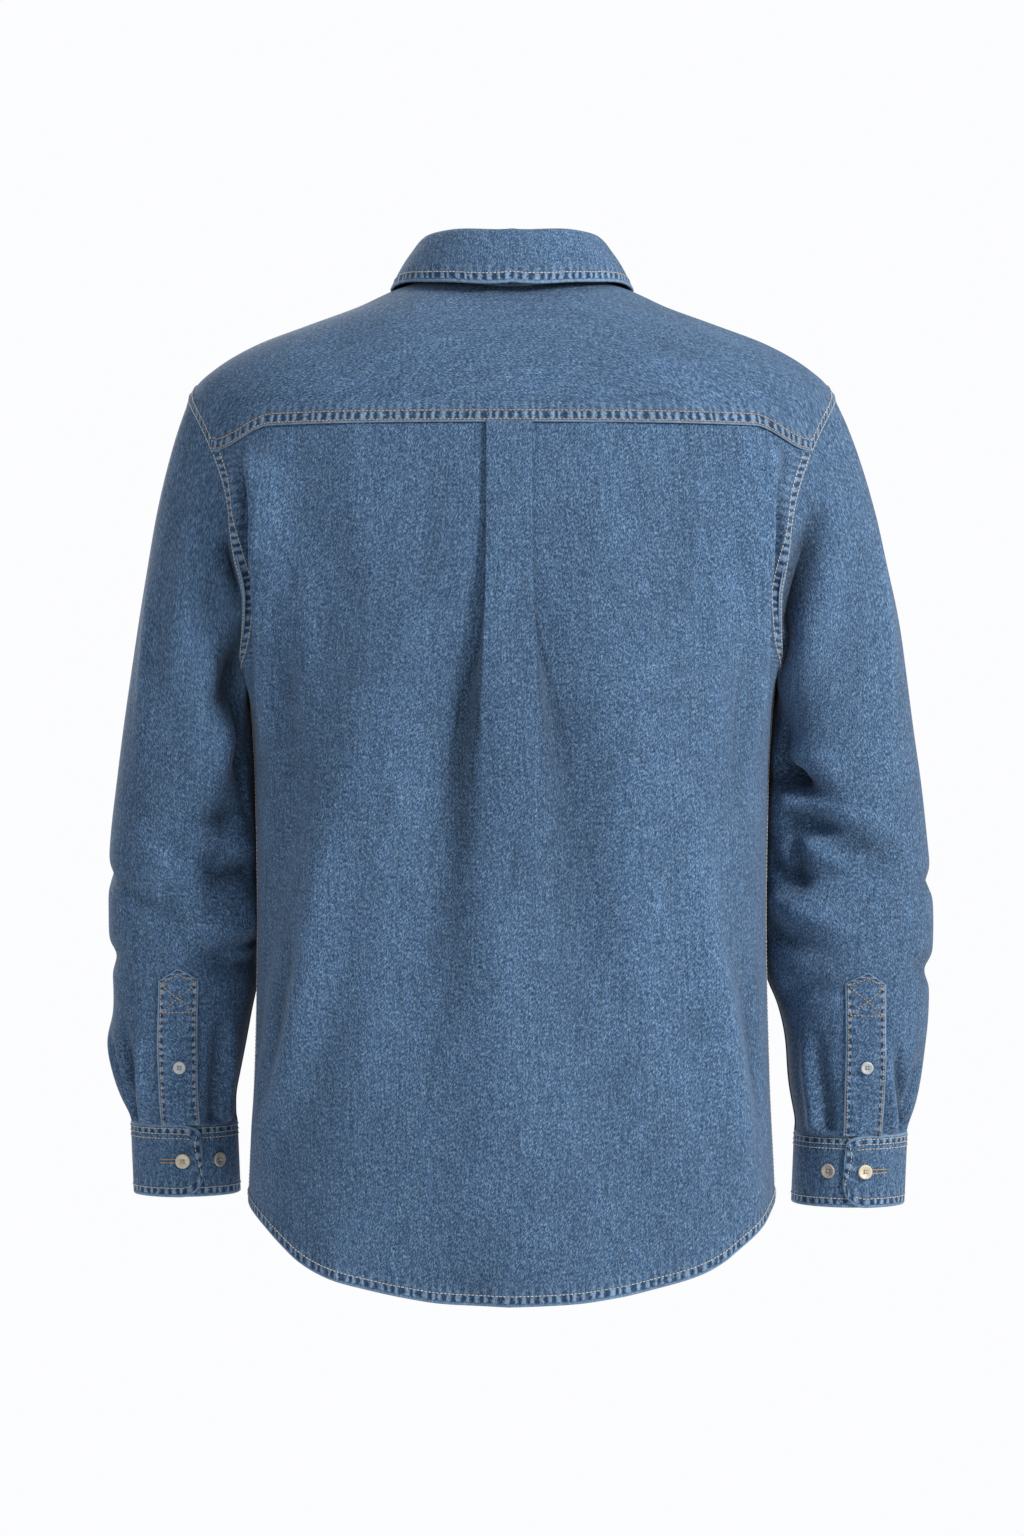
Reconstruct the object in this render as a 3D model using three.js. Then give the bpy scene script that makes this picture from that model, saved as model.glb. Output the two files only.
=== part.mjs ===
// A long-sleeved denim shirt, filled out as if it were worn, buttoned to the neck, with its arms hanging.
//
// Millimetres, +Z up. The front faces -Y, the wearer's left is +X. The origin is in the middle of the neck
// opening, level with the point where the shoulder line leaves the collar: the shirt hangs from there.
//
// Every piece of cloth is a closed wall. Its outer points come from the garment's own surfaces: the torso is
// a stack of level rings, and each sleeve a row of rings that starts at the armhole and turns to level.
import * as THREE from 'three';

// Driving dimensions
const CLOTH = 1.2; // one layer of denim
const DOUBLE_CLOTH = 2.2; // collar and cuffs, two layers and an interlining
const GAP = 0.3; // between two pieces at a seam
const ROUNDNESS = 2.4; // exponent of the torso's rings, 2 would be an ellipse
const UNDERARM_Z = -295;
const SIDE_HEM_Z = -692; // where the side seams end
// Shirt tails: how high the hem is over its lowest level, by the share of the half width from the middle
const BACK_HEM_Z = -756.5;
const FRONT_HEM_Z = -742;
const HEM_ROWS = [
  { across: 0, back: 0, front: 0 },
  { across: 0.25, back: 2, front: 1.5 },
  { across: 0.4, back: 6, front: 4 },
  { across: 0.55, back: 12, front: 9 },
  { across: 0.7, back: 20, front: 16 },
  { across: 0.78, back: 27.5, front: 23 },
  { across: 0.86, back: 40, front: 33 },
  { across: 0.92, back: 50.5, front: 42 },
  { across: 1, back: SIDE_HEM_Z - BACK_HEM_Z, front: SIDE_HEM_Z - FRONT_HEM_Z },
];

// The torso, one row for each level: its half width, and its depth behind and in front of the shoulder line
const TORSO_ROWS = [
  { z: 12, wide: 52, back: 26, front: 18 },
  { z: 7, wide: 68, back: 43, front: 31 },
  { z: -1.5, wide: 92, back: 61, front: 42 },
  { z: -6, wide: 102, back: 66, front: 45 },
  { z: -14, wide: 118.5, back: 75, front: 49 },
  { z: -29, wide: 158.5, back: 89, front: 55 },
  { z: -44, wide: 197.5, back: 99, front: 60.5 },
  { z: -60, wide: 225, back: 108, front: 66.5 },
  { z: -75, wide: 241.5, back: 113, front: 72 },
  { z: -90, wide: 248, back: 117, front: 78 },
  { z: -107, wide: 246.5, back: 120, front: 85 },
  { z: -150, wide: 240, back: 126, front: 100 },
  { z: -190, wide: 231, back: 129.5, front: 109 },
  { z: -240, wide: 214.5, back: 130, front: 118 },
  { z: -295, wide: 201, back: 127.5, front: 123 },
  { z: -380, wide: 195, back: 121, front: 124 },
  { z: -480, wide: 193.5, back: 116, front: 120 },
  { z: -600, wide: 196, back: 117.5, front: 117 },
  { z: -700, wide: 200.5, back: 121, front: 117 },
  { z: -765, wide: 202, back: 122, front: 117 },
];

// Armhole: a closed loop on the torso. Angle 0 is its top, 90 its rearmost point, 180 the underarm.
const ARMHOLE = { topZ: -80, backDepth: 72, frontDepth: 67, roundness: 2.2 };
const YOKE_BACK_ANGLE = 57; // where the back yoke seam meets the armhole
const YOKE_FRONT_ANGLE = -38; // where the front yoke seam meets it
const YOKE_SEAM = { middleZ: -111, drop: 16, dropFrom: 178, dropOver: 44 }; // along the back, by half width

// Neck opening in plan, by the angle from the middle of the back
const NECK_ROWS = [
  { angle: 0, radius: 64 },
  { angle: 90, radius: 68 },
  { angle: 180, radius: 72 },
];
const NECK_CORNER_ANGLE = 117; // where the front yoke seam meets the neck opening

// Collar, by the angle from the middle of the back: how far the stand rises and leans in
const STAND_ROWS = [
  { angle: 0, rise: 34, lean: 7 },
  { angle: 35, rise: 30.5, lean: 7 },
  { angle: 60, rise: 26.5, lean: 7 },
  { angle: 90, rise: 23.5, lean: 7 },
  { angle: 135, rise: 25, lean: 6 },
  { angle: 180, rise: 26, lean: 4 },
];
// The fall's free edge in plan, and its height over the torso there
const FALL_ROWS = [
  { angle: 0, radius: 71, lift: 10.5 },
  { angle: 30, radius: 77, lift: 9 },
  { angle: 60, radius: 86, lift: 5 },
  { angle: 90, radius: 90.5, lift: 2.6 },
  { angle: 110, radius: 92, lift: 2.6 },
  { angle: 130, radius: 93, lift: 2.8 },
  { angle: 151, radius: 98.5, lift: 3.4 },
];
const FALL_TOP_END = 172; // angle at which the fall leaves the stand, short of the middle of the front
// The roll over the stand's top edge, as steps out and up from that edge
const ROLL = [
  { out: 0, up: 1.5 },
  { out: 0.3, up: 4.6 },
  { out: 2.4, up: 7.2 },
  { out: 5.6, up: 7.6 },
  { out: 9.4, up: 5.2 },
];

// Box pleat down the back: how far it turns under, by level. At 180 degrees it is pressed flat.
const PLEAT_ROWS = [
  { z: -100, turn: 180, under: 12, bend: 2.4, box: 20, sink: 0 },
  { z: -170, turn: 178, under: 10, bend: 2.6, box: 20, sink: 0 },
  { z: -215, turn: 150, under: 6, bend: 3.2, box: 20.5, sink: 1.5 },
  { z: -260, turn: 100, under: 3, bend: 5, box: 21, sink: 4 },
  { z: -315, turn: 55, under: 4, bend: 9, box: 22, sink: 4.5 },
  { z: -390, turn: 28, under: 5, bend: 15, box: 22, sink: 4 },
  { z: -470, turn: 15, under: 6, bend: 22, box: 20, sink: 3 },
  { z: -560, turn: 8, under: 8, bend: 30, box: 18, sink: 2 },
  { z: -765, turn: 4, under: 8, bend: 34, box: 16, sink: 1 },
];
const SINK_REACH = 38; // how far beside the pleat the troughs spread

// Largest folds of the torso: a straight crest or trough between two places, with soft ends
const TORSO_FOLDS = [
  { fromX: 196, fromZ: -130, toX: 197, toZ: -285, width: 11, height: 6 },
  { fromX: -192, fromZ: -135, toX: -197, toZ: -280, width: 10, height: 5 },
  { fromX: 118, fromZ: -340, toX: 186, toZ: -620, width: 24, height: 5 },
  { fromX: 160, fromZ: -400, toX: 192, toZ: -560, width: 18, height: -4 },
  { fromX: -130, fromZ: -400, toX: -178, toZ: -690, width: 22, height: 4.5 },
  { fromX: 34, fromZ: -400, toX: 56, toZ: -720, width: 30, height: -3 },
  { fromX: -60, fromZ: -380, toX: -84, toZ: -720, width: 34, height: -3.5 },
];

// Sleeves, one row for each ring from the armhole to the cuff: its outermost and innermost points seen from
// behind, where its middle lies from front to back, and half its depth
const LEFT_SLEEVE_ROWS = [
  { outX: 248, outZ: -80, inX: 201, inZ: -295, midY: 2, depth: 69 },
  { outX: 257.5, outZ: -106, inX: 205, inZ: -301, midY: -1, depth: 69 },
  { outX: 265.5, outZ: -136, inX: 205, inZ: -307, midY: -4, depth: 68.5 },
  { outX: 273, outZ: -171, inX: 203, inZ: -315, midY: -8, depth: 68 },
  { outX: 279, outZ: -208, inX: 201, inZ: -325, midY: -12, depth: 67.5 },
  { outX: 286, outZ: -249, inX: 198, inZ: -339, midY: -16, depth: 67 },
  { outX: 293, outZ: -293, inX: 195, inZ: -358, midY: -20, depth: 66 },
  { outX: 299.5, outZ: -335, inX: 193, inZ: -380, midY: -24, depth: 65 },
  { outX: 305, outZ: -376, inX: 192, inZ: -405, midY: -28, depth: 64 },
  { outX: 310, outZ: -415, inX: 191.5, inZ: -432, midY: -31, depth: 62.5 },
  { outX: 312, outZ: -447, inX: 191.5, inZ: -456, midY: -33, depth: 61 },
  { outX: 312, outZ: -477, inX: 192, inZ: -480, midY: -34, depth: 59.5 },
  { outX: 311.5, outZ: -505, inX: 198, inZ: -502, midY: -35, depth: 58 },
  { outX: 308.5, outZ: -530, inX: 197, inZ: -525, midY: -36, depth: 56 },
  { outX: 308.5, outZ: -552, inX: 202, inZ: -550, midY: -37, depth: 54 },
  { outX: 314.5, outZ: -575, inX: 206.5, inZ: -575, midY: -38.5, depth: 51 },
  { outX: 310, outZ: -600, inX: 211.5, inZ: -600, midY: -40, depth: 48 },
  { outX: 303.5, outZ: -619, inX: 215, inZ: -619, midY: -42, depth: 44 },
  { outX: 297.5, outZ: -631, inX: 215, inZ: -631, midY: -43, depth: 40.5 },
  { outX: 295.5, outZ: -638, inX: 214, inZ: -638, midY: -44, depth: 39 },
];
const RIGHT_SLEEVE_ROWS = [
  { outX: 248, outZ: -80, inX: 201, inZ: -295, midY: 2, depth: 69 },
  { outX: 260, outZ: -106, inX: 205, inZ: -301, midY: -1, depth: 69 },
  { outX: 270, outZ: -136, inX: 205, inZ: -307, midY: -4, depth: 68.5 },
  { outX: 279.5, outZ: -171, inX: 203, inZ: -315, midY: -8, depth: 68 },
  { outX: 287.5, outZ: -209, inX: 201, inZ: -325, midY: -12, depth: 67.5 },
  { outX: 297, outZ: -250, inX: 198, inZ: -339, midY: -16, depth: 67 },
  { outX: 303.5, outZ: -294, inX: 195, inZ: -358, midY: -20, depth: 66 },
  { outX: 309.5, outZ: -337, inX: 193, inZ: -380, midY: -24, depth: 65 },
  { outX: 316, outZ: -378, inX: 192, inZ: -405, midY: -28, depth: 64 },
  { outX: 320.5, outZ: -417, inX: 191.5, inZ: -432, midY: -31, depth: 62.5 },
  { outX: 324, outZ: -449, inX: 191.5, inZ: -456, midY: -33, depth: 61 },
  { outX: 326, outZ: -479, inX: 192, inZ: -480, midY: -34, depth: 60 },
  { outX: 325.5, outZ: -507, inX: 194, inZ: -504, midY: -35, depth: 59 },
  { outX: 323, outZ: -532, inX: 198, inZ: -528, midY: -36, depth: 57.5 },
  { outX: 322.5, outZ: -555, inX: 208, inZ: -552, midY: -37, depth: 55.5 },
  { outX: 320, outZ: -580, inX: 213, inZ: -577, midY: -38.5, depth: 53 },
  { outX: 317, outZ: -605, inX: 214.5, inZ: -603, midY: -40, depth: 49.5 },
  { outX: 313, outZ: -625, inX: 218, inZ: -624, midY: -42, depth: 46 },
  { outX: 308.5, outZ: -638, inX: 220.5, inZ: -638, midY: -43, depth: 43 },
  { outX: 306.5, outZ: -646, inX: 220, inZ: -646, midY: -44, depth: 41.5 },
];
const SLEEVE_ROUNDNESS = 2.25;
const SLEEVE_CLEAR = 2.4; // between a sleeve and the torso beside it
const RING_STEP = 29; // about how far apart two sleeve rings are
// Largest folds of the sleeves: places are an angle round the sleeve, as on the armhole, and a ring number
const LEFT_SLEEVE_FOLDS = [
  { fromAngle: 175, fromRing: 3, toAngle: 120, toRing: 9, width: 17, height: -9 },
  { fromAngle: 185, fromRing: 9.6, toAngle: 105, toRing: 9.4, width: 12, height: -8 },
  { fromAngle: 190, fromRing: 11.6, toAngle: 130, toRing: 11.3, width: 12, height: 5 },
  { fromAngle: 195, fromRing: 12, toAngle: 125, toRing: 12.3, width: 10, height: -7 },
  { fromAngle: 38, fromRing: 19.4, toAngle: 24, toRing: 15.5, width: 7.5, height: -8 },
  { fromAngle: -36, fromRing: 19.4, toAngle: -30, toRing: 16, width: 8, height: -7 },
];
const RIGHT_SLEEVE_FOLDS = [
  { fromAngle: 175, fromRing: 2.5, toAngle: 118, toRing: 8, width: 17, height: -10 },
  { fromAngle: 185, fromRing: 8.6, toAngle: 118, toRing: 8.4, width: 10, height: -9 },
  { fromAngle: 180, fromRing: 10.2, toAngle: 88, toRing: 9.7, width: 11, height: -7 },
  { fromAngle: 190, fromRing: 13.6, toAngle: 120, toRing: 13.2, width: 12, height: -6 },
  { fromAngle: 36, fromRing: 19.4, toAngle: 30, toRing: 16, width: 7.5, height: -8 },
  { fromAngle: -36, fromRing: 19.4, toAngle: -30, toRing: 16, width: 8, height: -7 },
];

// Cuffs and sleeve plackets, one row for each side. Angles go round the sleeve as on the armhole. The placket
// hangs straight at placketX. Button turns are from the overlapping end: the one through the hole, the spare.
const CUFF_HEIGHT = 54;
const CUFF_BEGIN = 60; // angle of the end that lies under
const CUFF_LAP = 1.5; // how far each end moves in or out from the band's middle line
const SIDES = [
  {
    name: 'left',
    mirror: 1,
    rows: LEFT_SLEEVE_ROWS,
    folds: LEFT_SLEEVE_FOLDS,
    overEnd: 112,
    placketX: 253.5,
    buttonTurns: [-20, 22],
  },
  {
    name: 'right',
    mirror: -1,
    rows: RIGHT_SLEEVE_ROWS,
    folds: RIGHT_SLEEVE_FOLDS,
    overEnd: 100,
    placketX: 270,
    buttonTurns: [-20, 17],
  },
];
const SLEEVE_PLACKET = { halfWidth: 12.5, topRing: 12.55, point: 9, buttonZ: -592 };

// Front closure: the left front laps over the right
const PLACKET_HALF_WIDTH = 18;
const FRONT_BUTTONS = { firstZ: -138, count: 6, spacing: 88 };
const BUTTON = { radius: 5.6, rim: 2.6, dish: 1.8, facets: 12 };
const STAND_BUTTON_RADIUS = 5.2;

// How finely the walls are divided
const YOKE_ARM_STEPS = 6;
const BACK_ARM_STEPS = 9;
const FRONT_ARM_STEPS = 9;
const FRONT_SEAM_STEPS = 5;
const BODY_STEPS = 9; // from the underarm to the hem
const FRONT_STEPS = 8; // across one front, beside its placket
const BEYOND_PLEAT = [0.07, 0.17, 0.3, 0.44, 0.58, 0.71, 0.83, 0.93, 1]; // across the back, beside the pleat
const RING_SAMPLES = 128;

const rad = THREE.MathUtils.degToRad;
const mix = THREE.MathUtils.lerp;
const clamp = THREE.MathUtils.clamp;
const vec = (x, y, z) => new THREE.Vector3(x, y, z);
const smooth = (t) => THREE.MathUtils.smoothstep(t, 0, 1);
const range = (count) => [...Array(count).keys()];
const steps = (from, to, count) => range(count + 1).map((i) => mix(from, to, i / count));

// Tables

// A smooth function through one column of a table, without overshoot, held level past both ends.
function column(rows, along, key) {
  const pairs = rows.map((row, i) => [along ? row[along] : i, row[key]]).sort((p, q) => p[0] - q[0]);
  const xs = pairs.map((p) => p[0]);
  const ys = pairs.map((p) => p[1]);
  const width = xs.slice(1).map((x, i) => x - xs[i]);
  const slope = width.map((w, i) => (ys[i + 1] - ys[i]) / w);
  const last = xs.length - 1;
  const tangent = xs.map((_, i) => {
    if (i === 0) return slope[0];
    if (i === last) return slope[last - 1];
    if (slope[i - 1] * slope[i] <= 0) return 0;
    const before = 2 * width[i] + width[i - 1];
    const after = width[i] + 2 * width[i - 1];
    return (before + after) / (before / slope[i - 1] + after / slope[i]);
  });
  return (at) => {
    const x = clamp(at, xs[0], xs[last]);
    let i = 0;
    while (i < last - 1 && x > xs[i + 1]) i += 1;
    const t = (x - xs[i]) / width[i];
    const rise = width[i] * (tangent[i] * t * (1 - t) ** 2 - tangent[i + 1] * t * t * (1 - t));
    return mix(ys[i], ys[i + 1], t * t * (3 - 2 * t)) + rise;
  };
}

const wideAt = column(TORSO_ROWS, 'z', 'wide');
const backAt = column(TORSO_ROWS, 'z', 'back');
const frontAt = column(TORSO_ROWS, 'z', 'front');
const neckRadiusAt = column(NECK_ROWS, 'angle', 'radius');
const standRiseAt = column(STAND_ROWS, 'angle', 'rise');
const standLeanAt = column(STAND_ROWS, 'angle', 'lean');
const fallRadiusAt = column(FALL_ROWS, 'angle', 'radius');
const fallLiftAt = column(FALL_ROWS, 'angle', 'lift');
const backRiseAt = column(HEM_ROWS, 'across', 'back');
const frontRiseAt = column(HEM_ROWS, 'across', 'front');
const pleatAt = Object.fromEntries(
  ['turn', 'under', 'bend', 'box', 'sink'].map((key) => [key, column(PLEAT_ROWS, 'z', key)]),
);

// The torso's surface

const ringCache = new Map();

// Half of a level ring, from the middle of the back round to the middle of the front, with its lengths.
function halfRing(z) {
  if (ringCache.has(z)) return ringCache.get(z);
  const power = 2 / ROUNDNESS;
  const points = range(RING_SAMPLES + 1).map((i) => {
    const turn = (Math.PI * i) / RING_SAMPLES;
    const depth = Math.cos(turn) >= 0 ? backAt(z) : -frontAt(z);
    return [wideAt(z) * Math.abs(Math.sin(turn)) ** power, depth * Math.abs(Math.cos(turn)) ** power];
  });
  points[RING_SAMPLES][0] = 0;
  const lengths = [0];
  for (let i = 1; i <= RING_SAMPLES; i += 1) {
    const [x, y] = points[i];
    lengths.push(lengths[i - 1] + Math.hypot(x - points[i - 1][0], y - points[i - 1][1]));
  }
  const ring = { points, lengths, total: lengths[RING_SAMPLES] };
  ringCache.set(z, ring);
  return ring;
}

// The point at a level and a length round the ring from the middle of the back, positive towards +X.
function ringPoint(z, around) {
  const { points, lengths, total } = halfRing(z);
  const side = around < 0 ? -1 : 1;
  const reach = Math.abs(around);
  const past = reach > total; // beyond the middle of the front, on the other side
  const s = past ? 2 * total - reach : reach;
  let low = 0;
  let high = RING_SAMPLES;
  while (high - low > 1) {
    const middle = (low + high) >> 1;
    if (lengths[middle] <= s) low = middle;
    else high = middle;
  }
  const t = (s - lengths[low]) / (lengths[high] - lengths[low]);
  const x = mix(points[low][0], points[high][0], t);
  return vec((past ? -side : side) * x, mix(points[low][1], points[high][1], t), z);
}

// The length round the ring at which it has a given depth, behind or in front.
function aroundAtDepth(z, y) {
  const { lengths } = halfRing(z);
  const share = clamp(Math.abs(y) / (y >= 0 ? backAt(z) : frontAt(z)), 0, 1);
  const turn = Math.acos(share ** (ROUNDNESS / 2));
  const index = ((y >= 0 ? turn : Math.PI - turn) / Math.PI) * RING_SAMPLES;
  const low = Math.min(Math.floor(index), RING_SAMPLES - 1);
  return mix(lengths[low], lengths[low + 1], index - low);
}

// The same for a place on the back that is given by its distance from the middle plane.
function aroundAtWidth(z, x) {
  const share = clamp(Math.abs(x) / wideAt(z), 0, 1);
  const y = backAt(z) * (1 - share ** ROUNDNESS) ** (1 / ROUNDNESS);
  return Math.sign(x) * aroundAtDepth(z, y);
}

// How far from the middle plane the torso's surface is, at a depth and a level.
function torsoWidth(y, z) {
  const share = Math.abs(y) / (y >= 0 ? backAt(z) : frontAt(z));
  return share >= 1 ? 0 : wideAt(z) * (1 - share ** ROUNDNESS) ** (1 / ROUNDNESS);
}

// The level of the torso's surface over a place in plan.
function torsoTop(x, y) {
  let low = -400;
  let high = TORSO_ROWS[0].z;
  for (let i = 0; i < 40; i += 1) {
    const z = (low + high) / 2;
    if (torsoWidth(y, z) > Math.abs(x)) low = z;
    else high = z;
  }
  return (low + high) / 2;
}

// Height of soft folds at a place: each is a crest or trough along a line, fading past its ends.
function foldHeight(folds, u, v) {
  return folds.reduce((sum, fold) => {
    const du = fold.toU - fold.fromU;
    const dv = fold.toV - fold.fromV;
    const length = Math.hypot(du, dv);
    const along = ((u - fold.fromU) * du + (v - fold.fromV) * dv) / length;
    const across = ((u - fold.fromU) * dv - (v - fold.fromV) * du) / length;
    const past = Math.max(0, -along, along - length);
    const fade = 2.2 * fold.width;
    return sum + fold.height * Math.exp(-((across / fold.width) ** 2) - (past / fade) ** 2);
  }, 0);
}

const torsoFolds = TORSO_FOLDS.map((fold) => ({
  ...fold,
  fromU: aroundAtWidth(fold.fromZ, fold.fromX),
  fromV: fold.fromZ,
  toU: aroundAtWidth(fold.toZ, fold.toX),
  toV: fold.toZ,
}));

// How much of the folds shows at a place: none near the yoke, the armhole and the front.
function torsoFoldAt(z, around) {
  const side = aroundAtDepth(z, 0);
  const edge = smooth((side - Math.abs(around)) / 14);
  return foldHeight(torsoFolds, around, z) * edge * smooth((-118 - z) / 30);
}

// A place on the torso: its point, outward normal and the direction round the ring away from the middle of
// the back on the +X side.
function torsoPlace(z, around, { folded = false } = {}) {
  const nudge = 0.4;
  const base = ringPoint(z, around);
  const round = ringPoint(z, around + nudge).sub(ringPoint(z, around - nudge)).normalize();
  const share = around / halfRing(z).total;
  const above = ringPoint(z + nudge, share * halfRing(z + nudge).total);
  const below = ringPoint(z - nudge, share * halfRing(z - nudge).total);
  const normal = round.clone().cross(above.sub(below)).normalize();
  if (normal.dot(vec(base.x, base.y, 0)) < 0) normal.negate();
  if (folded) base.addScaledVector(normal, torsoFoldAt(z, around));
  return { point: base, normal, round };
}

// Walls

// One closed wall from a grid of places: outer points, and inner points one thickness in along the normals.
// A wrapped grid closes round its columns.
function wall(grid, thickness, { wrap = false } = {}) {
  const rows = grid.length;
  const cols = grid[0].length;
  const outer = grid.flat().map((place) => place.point);
  const inner = grid.flat().map((place) => place.point.clone().addScaledVector(place.normal, -thickness));
  const positions = [...outer, ...inner].flatMap((p) => [p.x, p.y, p.z]);
  const out = (r, c) => r * cols + (c % cols);
  const into = (r, c) => rows * cols + out(r, c);
  const faces = [];
  const quad = (a, b, c, d) => faces.push([a, b, c], [a, c, d]);
  const across = wrap ? cols : cols - 1;
  for (let r = 0; r < rows - 1; r += 1) {
    for (let c = 0; c < across; c += 1) {
      quad(out(r, c), out(r, c + 1), out(r + 1, c + 1), out(r + 1, c));
      quad(into(r, c), into(r + 1, c), into(r + 1, c + 1), into(r, c + 1));
    }
  }
  for (let c = 0; c < across; c += 1) {
    quad(out(0, c), into(0, c), into(0, c + 1), out(0, c + 1));
    quad(out(rows - 1, c + 1), into(rows - 1, c + 1), into(rows - 1, c), out(rows - 1, c));
  }
  if (!wrap) {
    for (let r = 0; r < rows - 1; r += 1) {
      quad(out(r, 0), out(r + 1, 0), into(r + 1, 0), into(r, 0));
      quad(out(r, cols - 1), into(r, cols - 1), into(r + 1, cols - 1), out(r + 1, cols - 1));
    }
  }
  if (signedVolume(positions, faces) < 0) faces.forEach((face) => face.reverse());
  const geometry = new THREE.BufferGeometry();
  geometry.setAttribute('position', new THREE.Float32BufferAttribute(positions, 3));
  geometry.setIndex(faces.flat());
  geometry.computeVertexNormals();
  return geometry;
}

function signedVolume(positions, faces) {
  const at = (i) => vec(...positions.slice(3 * i, 3 * i + 3));
  return faces.reduce((sum, [a, b, c]) => sum + at(a).dot(at(b).cross(at(c))), 0);
}

// The middle of a facet's edge or the facet itself, with the normal of the cells that meet there.
function facetSeat(grid, row, col) {
  const seat = betweenPlaces(grid, row, col, 0);
  const r = [Math.floor(row - 0.01), Math.ceil(row + 0.01)];
  const c = [Math.floor(col - 0.01), Math.ceil(col + 0.01)];
  const corner = (i, j) => grid[r[i]][c[j]].point.clone();
  const normal = corner(1, 1).sub(corner(0, 0)).cross(corner(1, 0).sub(corner(0, 1))).normalize();
  if (normal.dot(seat.normal) < 0) normal.negate();
  return { point: seat.point, normal };
}

// Moves one border of a grid inwards over the cloth, square to the seam, by half of the gap.
function inset(grid, border, amount = GAP / 2) {
  const rows = grid.length;
  const cols = grid[0].length;
  const upright = border === 'first' || border === 'last';
  const count = upright ? rows : cols;
  const pick = (i, depth) => {
    if (border === 'first') return grid[i][depth];
    if (border === 'last') return grid[i][cols - 1 - depth];
    return border === 'top' ? grid[depth][i] : grid[rows - 1 - depth][i];
  };
  const moves = range(count).map((i) => {
    const here = pick(i, 0);
    const tangent = pick(Math.min(i + 1, count - 1), 0).point.clone().sub(pick(Math.max(i - 1, 0), 0).point);
    const inward = pick(i, 1).point.clone().sub(here.point);
    const square = here.normal.clone().cross(tangent).normalize();
    return square.multiplyScalar(Math.sign(square.dot(inward)) * amount);
  });
  moves.forEach((move, i) => pick(i, 0).point.add(move));
}

// The same for one row's last place.
function insetOne(grid, r) {
  const cols = grid[0].length;
  const at = (i) => grid[clamp(i, 0, grid.length - 1)][cols - 1].point;
  const here = grid[r][cols - 1];
  const tangent = at(r + 1).clone().sub(at(r - 1));
  const inward = grid[r][cols - 2].point.clone().sub(here.point);
  const square = here.normal.clone().cross(tangent).normalize();
  here.point.addScaledVector(square, (Math.sign(square.dot(inward)) * GAP) / 2);
}

// A point and a normal that lie between the corners of one cell of a grid. Columns may run past a wrap.
function betweenPlaces(grid, row, col, lift, { wrap = false } = {}) {
  const cols = grid[0].length;
  const r = clamp(Math.floor(row), 0, grid.length - 2);
  const c = wrap ? Math.floor(col) : clamp(Math.floor(col), 0, cols - 2);
  const pick = (i, j) => grid[i][wrap ? ((j % cols) + cols) % cols : j];
  const blend = (key) =>
    pick(r, c)[key]
      .clone()
      .lerp(pick(r, c + 1)[key], col - c)
      .lerp(pick(r + 1, c)[key].clone().lerp(pick(r + 1, c + 1)[key], col - c), row - r);
  const normal = blend('normal').normalize();
  return { point: blend('point').addScaledVector(normal, lift), normal };
}

// Seams that pieces share

// The armhole's place at an angle, with the length round the ring that leads there.
function armholePlace(angle) {
  const middle = (ARMHOLE.topZ + UNDERARM_Z) / 2;
  const turn = rad(angle);
  const z = middle + ((ARMHOLE.topZ - UNDERARM_Z) / 2) * Math.cos(turn);
  const power = 2 / ARMHOLE.roundness;
  const depth = Math.sin(turn) >= 0 ? ARMHOLE.backDepth : -ARMHOLE.frontDepth;
  const y = depth * Math.abs(Math.sin(turn)) ** power;
  return { z, around: aroundAtDepth(z, y) };
}

const yokeArmAngles = steps(YOKE_BACK_ANGLE, YOKE_FRONT_ANGLE, YOKE_ARM_STEPS);
const backArmAngles = steps(YOKE_BACK_ANGLE, 180, BACK_ARM_STEPS);
const frontArmAngles = steps(360 + YOKE_FRONT_ANGLE, 180, FRONT_ARM_STEPS);
const YOKE_HALF_COLUMNS = 1 + BEYOND_PLEAT.length + YOKE_ARM_STEPS;
const yokeNeckAngles = steps(0, NECK_CORNER_ANGLE, YOKE_HALF_COLUMNS);
const armAngles = [
  ...backArmAngles.slice(0, -1),
  ...frontArmAngles.toReversed().slice(0, -1),
  ...yokeArmAngles.toReversed().slice(0, -1).map((angle) => angle + 360),
];

function yokeSeamZ(x) {
  const { middleZ, drop, dropFrom, dropOver } = YOKE_SEAM;
  return middleZ - drop * smooth((Math.abs(x) - dropFrom) / dropOver);
}

// A place on the neck opening, as a level and a length round the ring.
function neckPlace(angle) {
  const radius = neckRadiusAt(Math.abs(angle));
  const x = radius * Math.sin(rad(angle));
  const y = radius * Math.cos(rad(angle));
  const z = torsoTop(x, y);
  return { z, around: (angle < 0 ? -1 : 1) * aroundAtDepth(z, y), x, y };
}

// The hem's level, by the share of the way round from the middle to the side seam.
function hemZ(share, front) {
  const level = front ? FRONT_HEM_Z : BACK_HEM_Z;
  const side = aroundAtDepth(level, 0);
  const around = front ? mix(halfRing(level).total, side, share) : side * share;
  const across = Math.abs(ringPoint(level, around).x) / wideAt(level);
  return level + (front ? frontRiseAt : backRiseAt)(across);
}

// Sleeves

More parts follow.
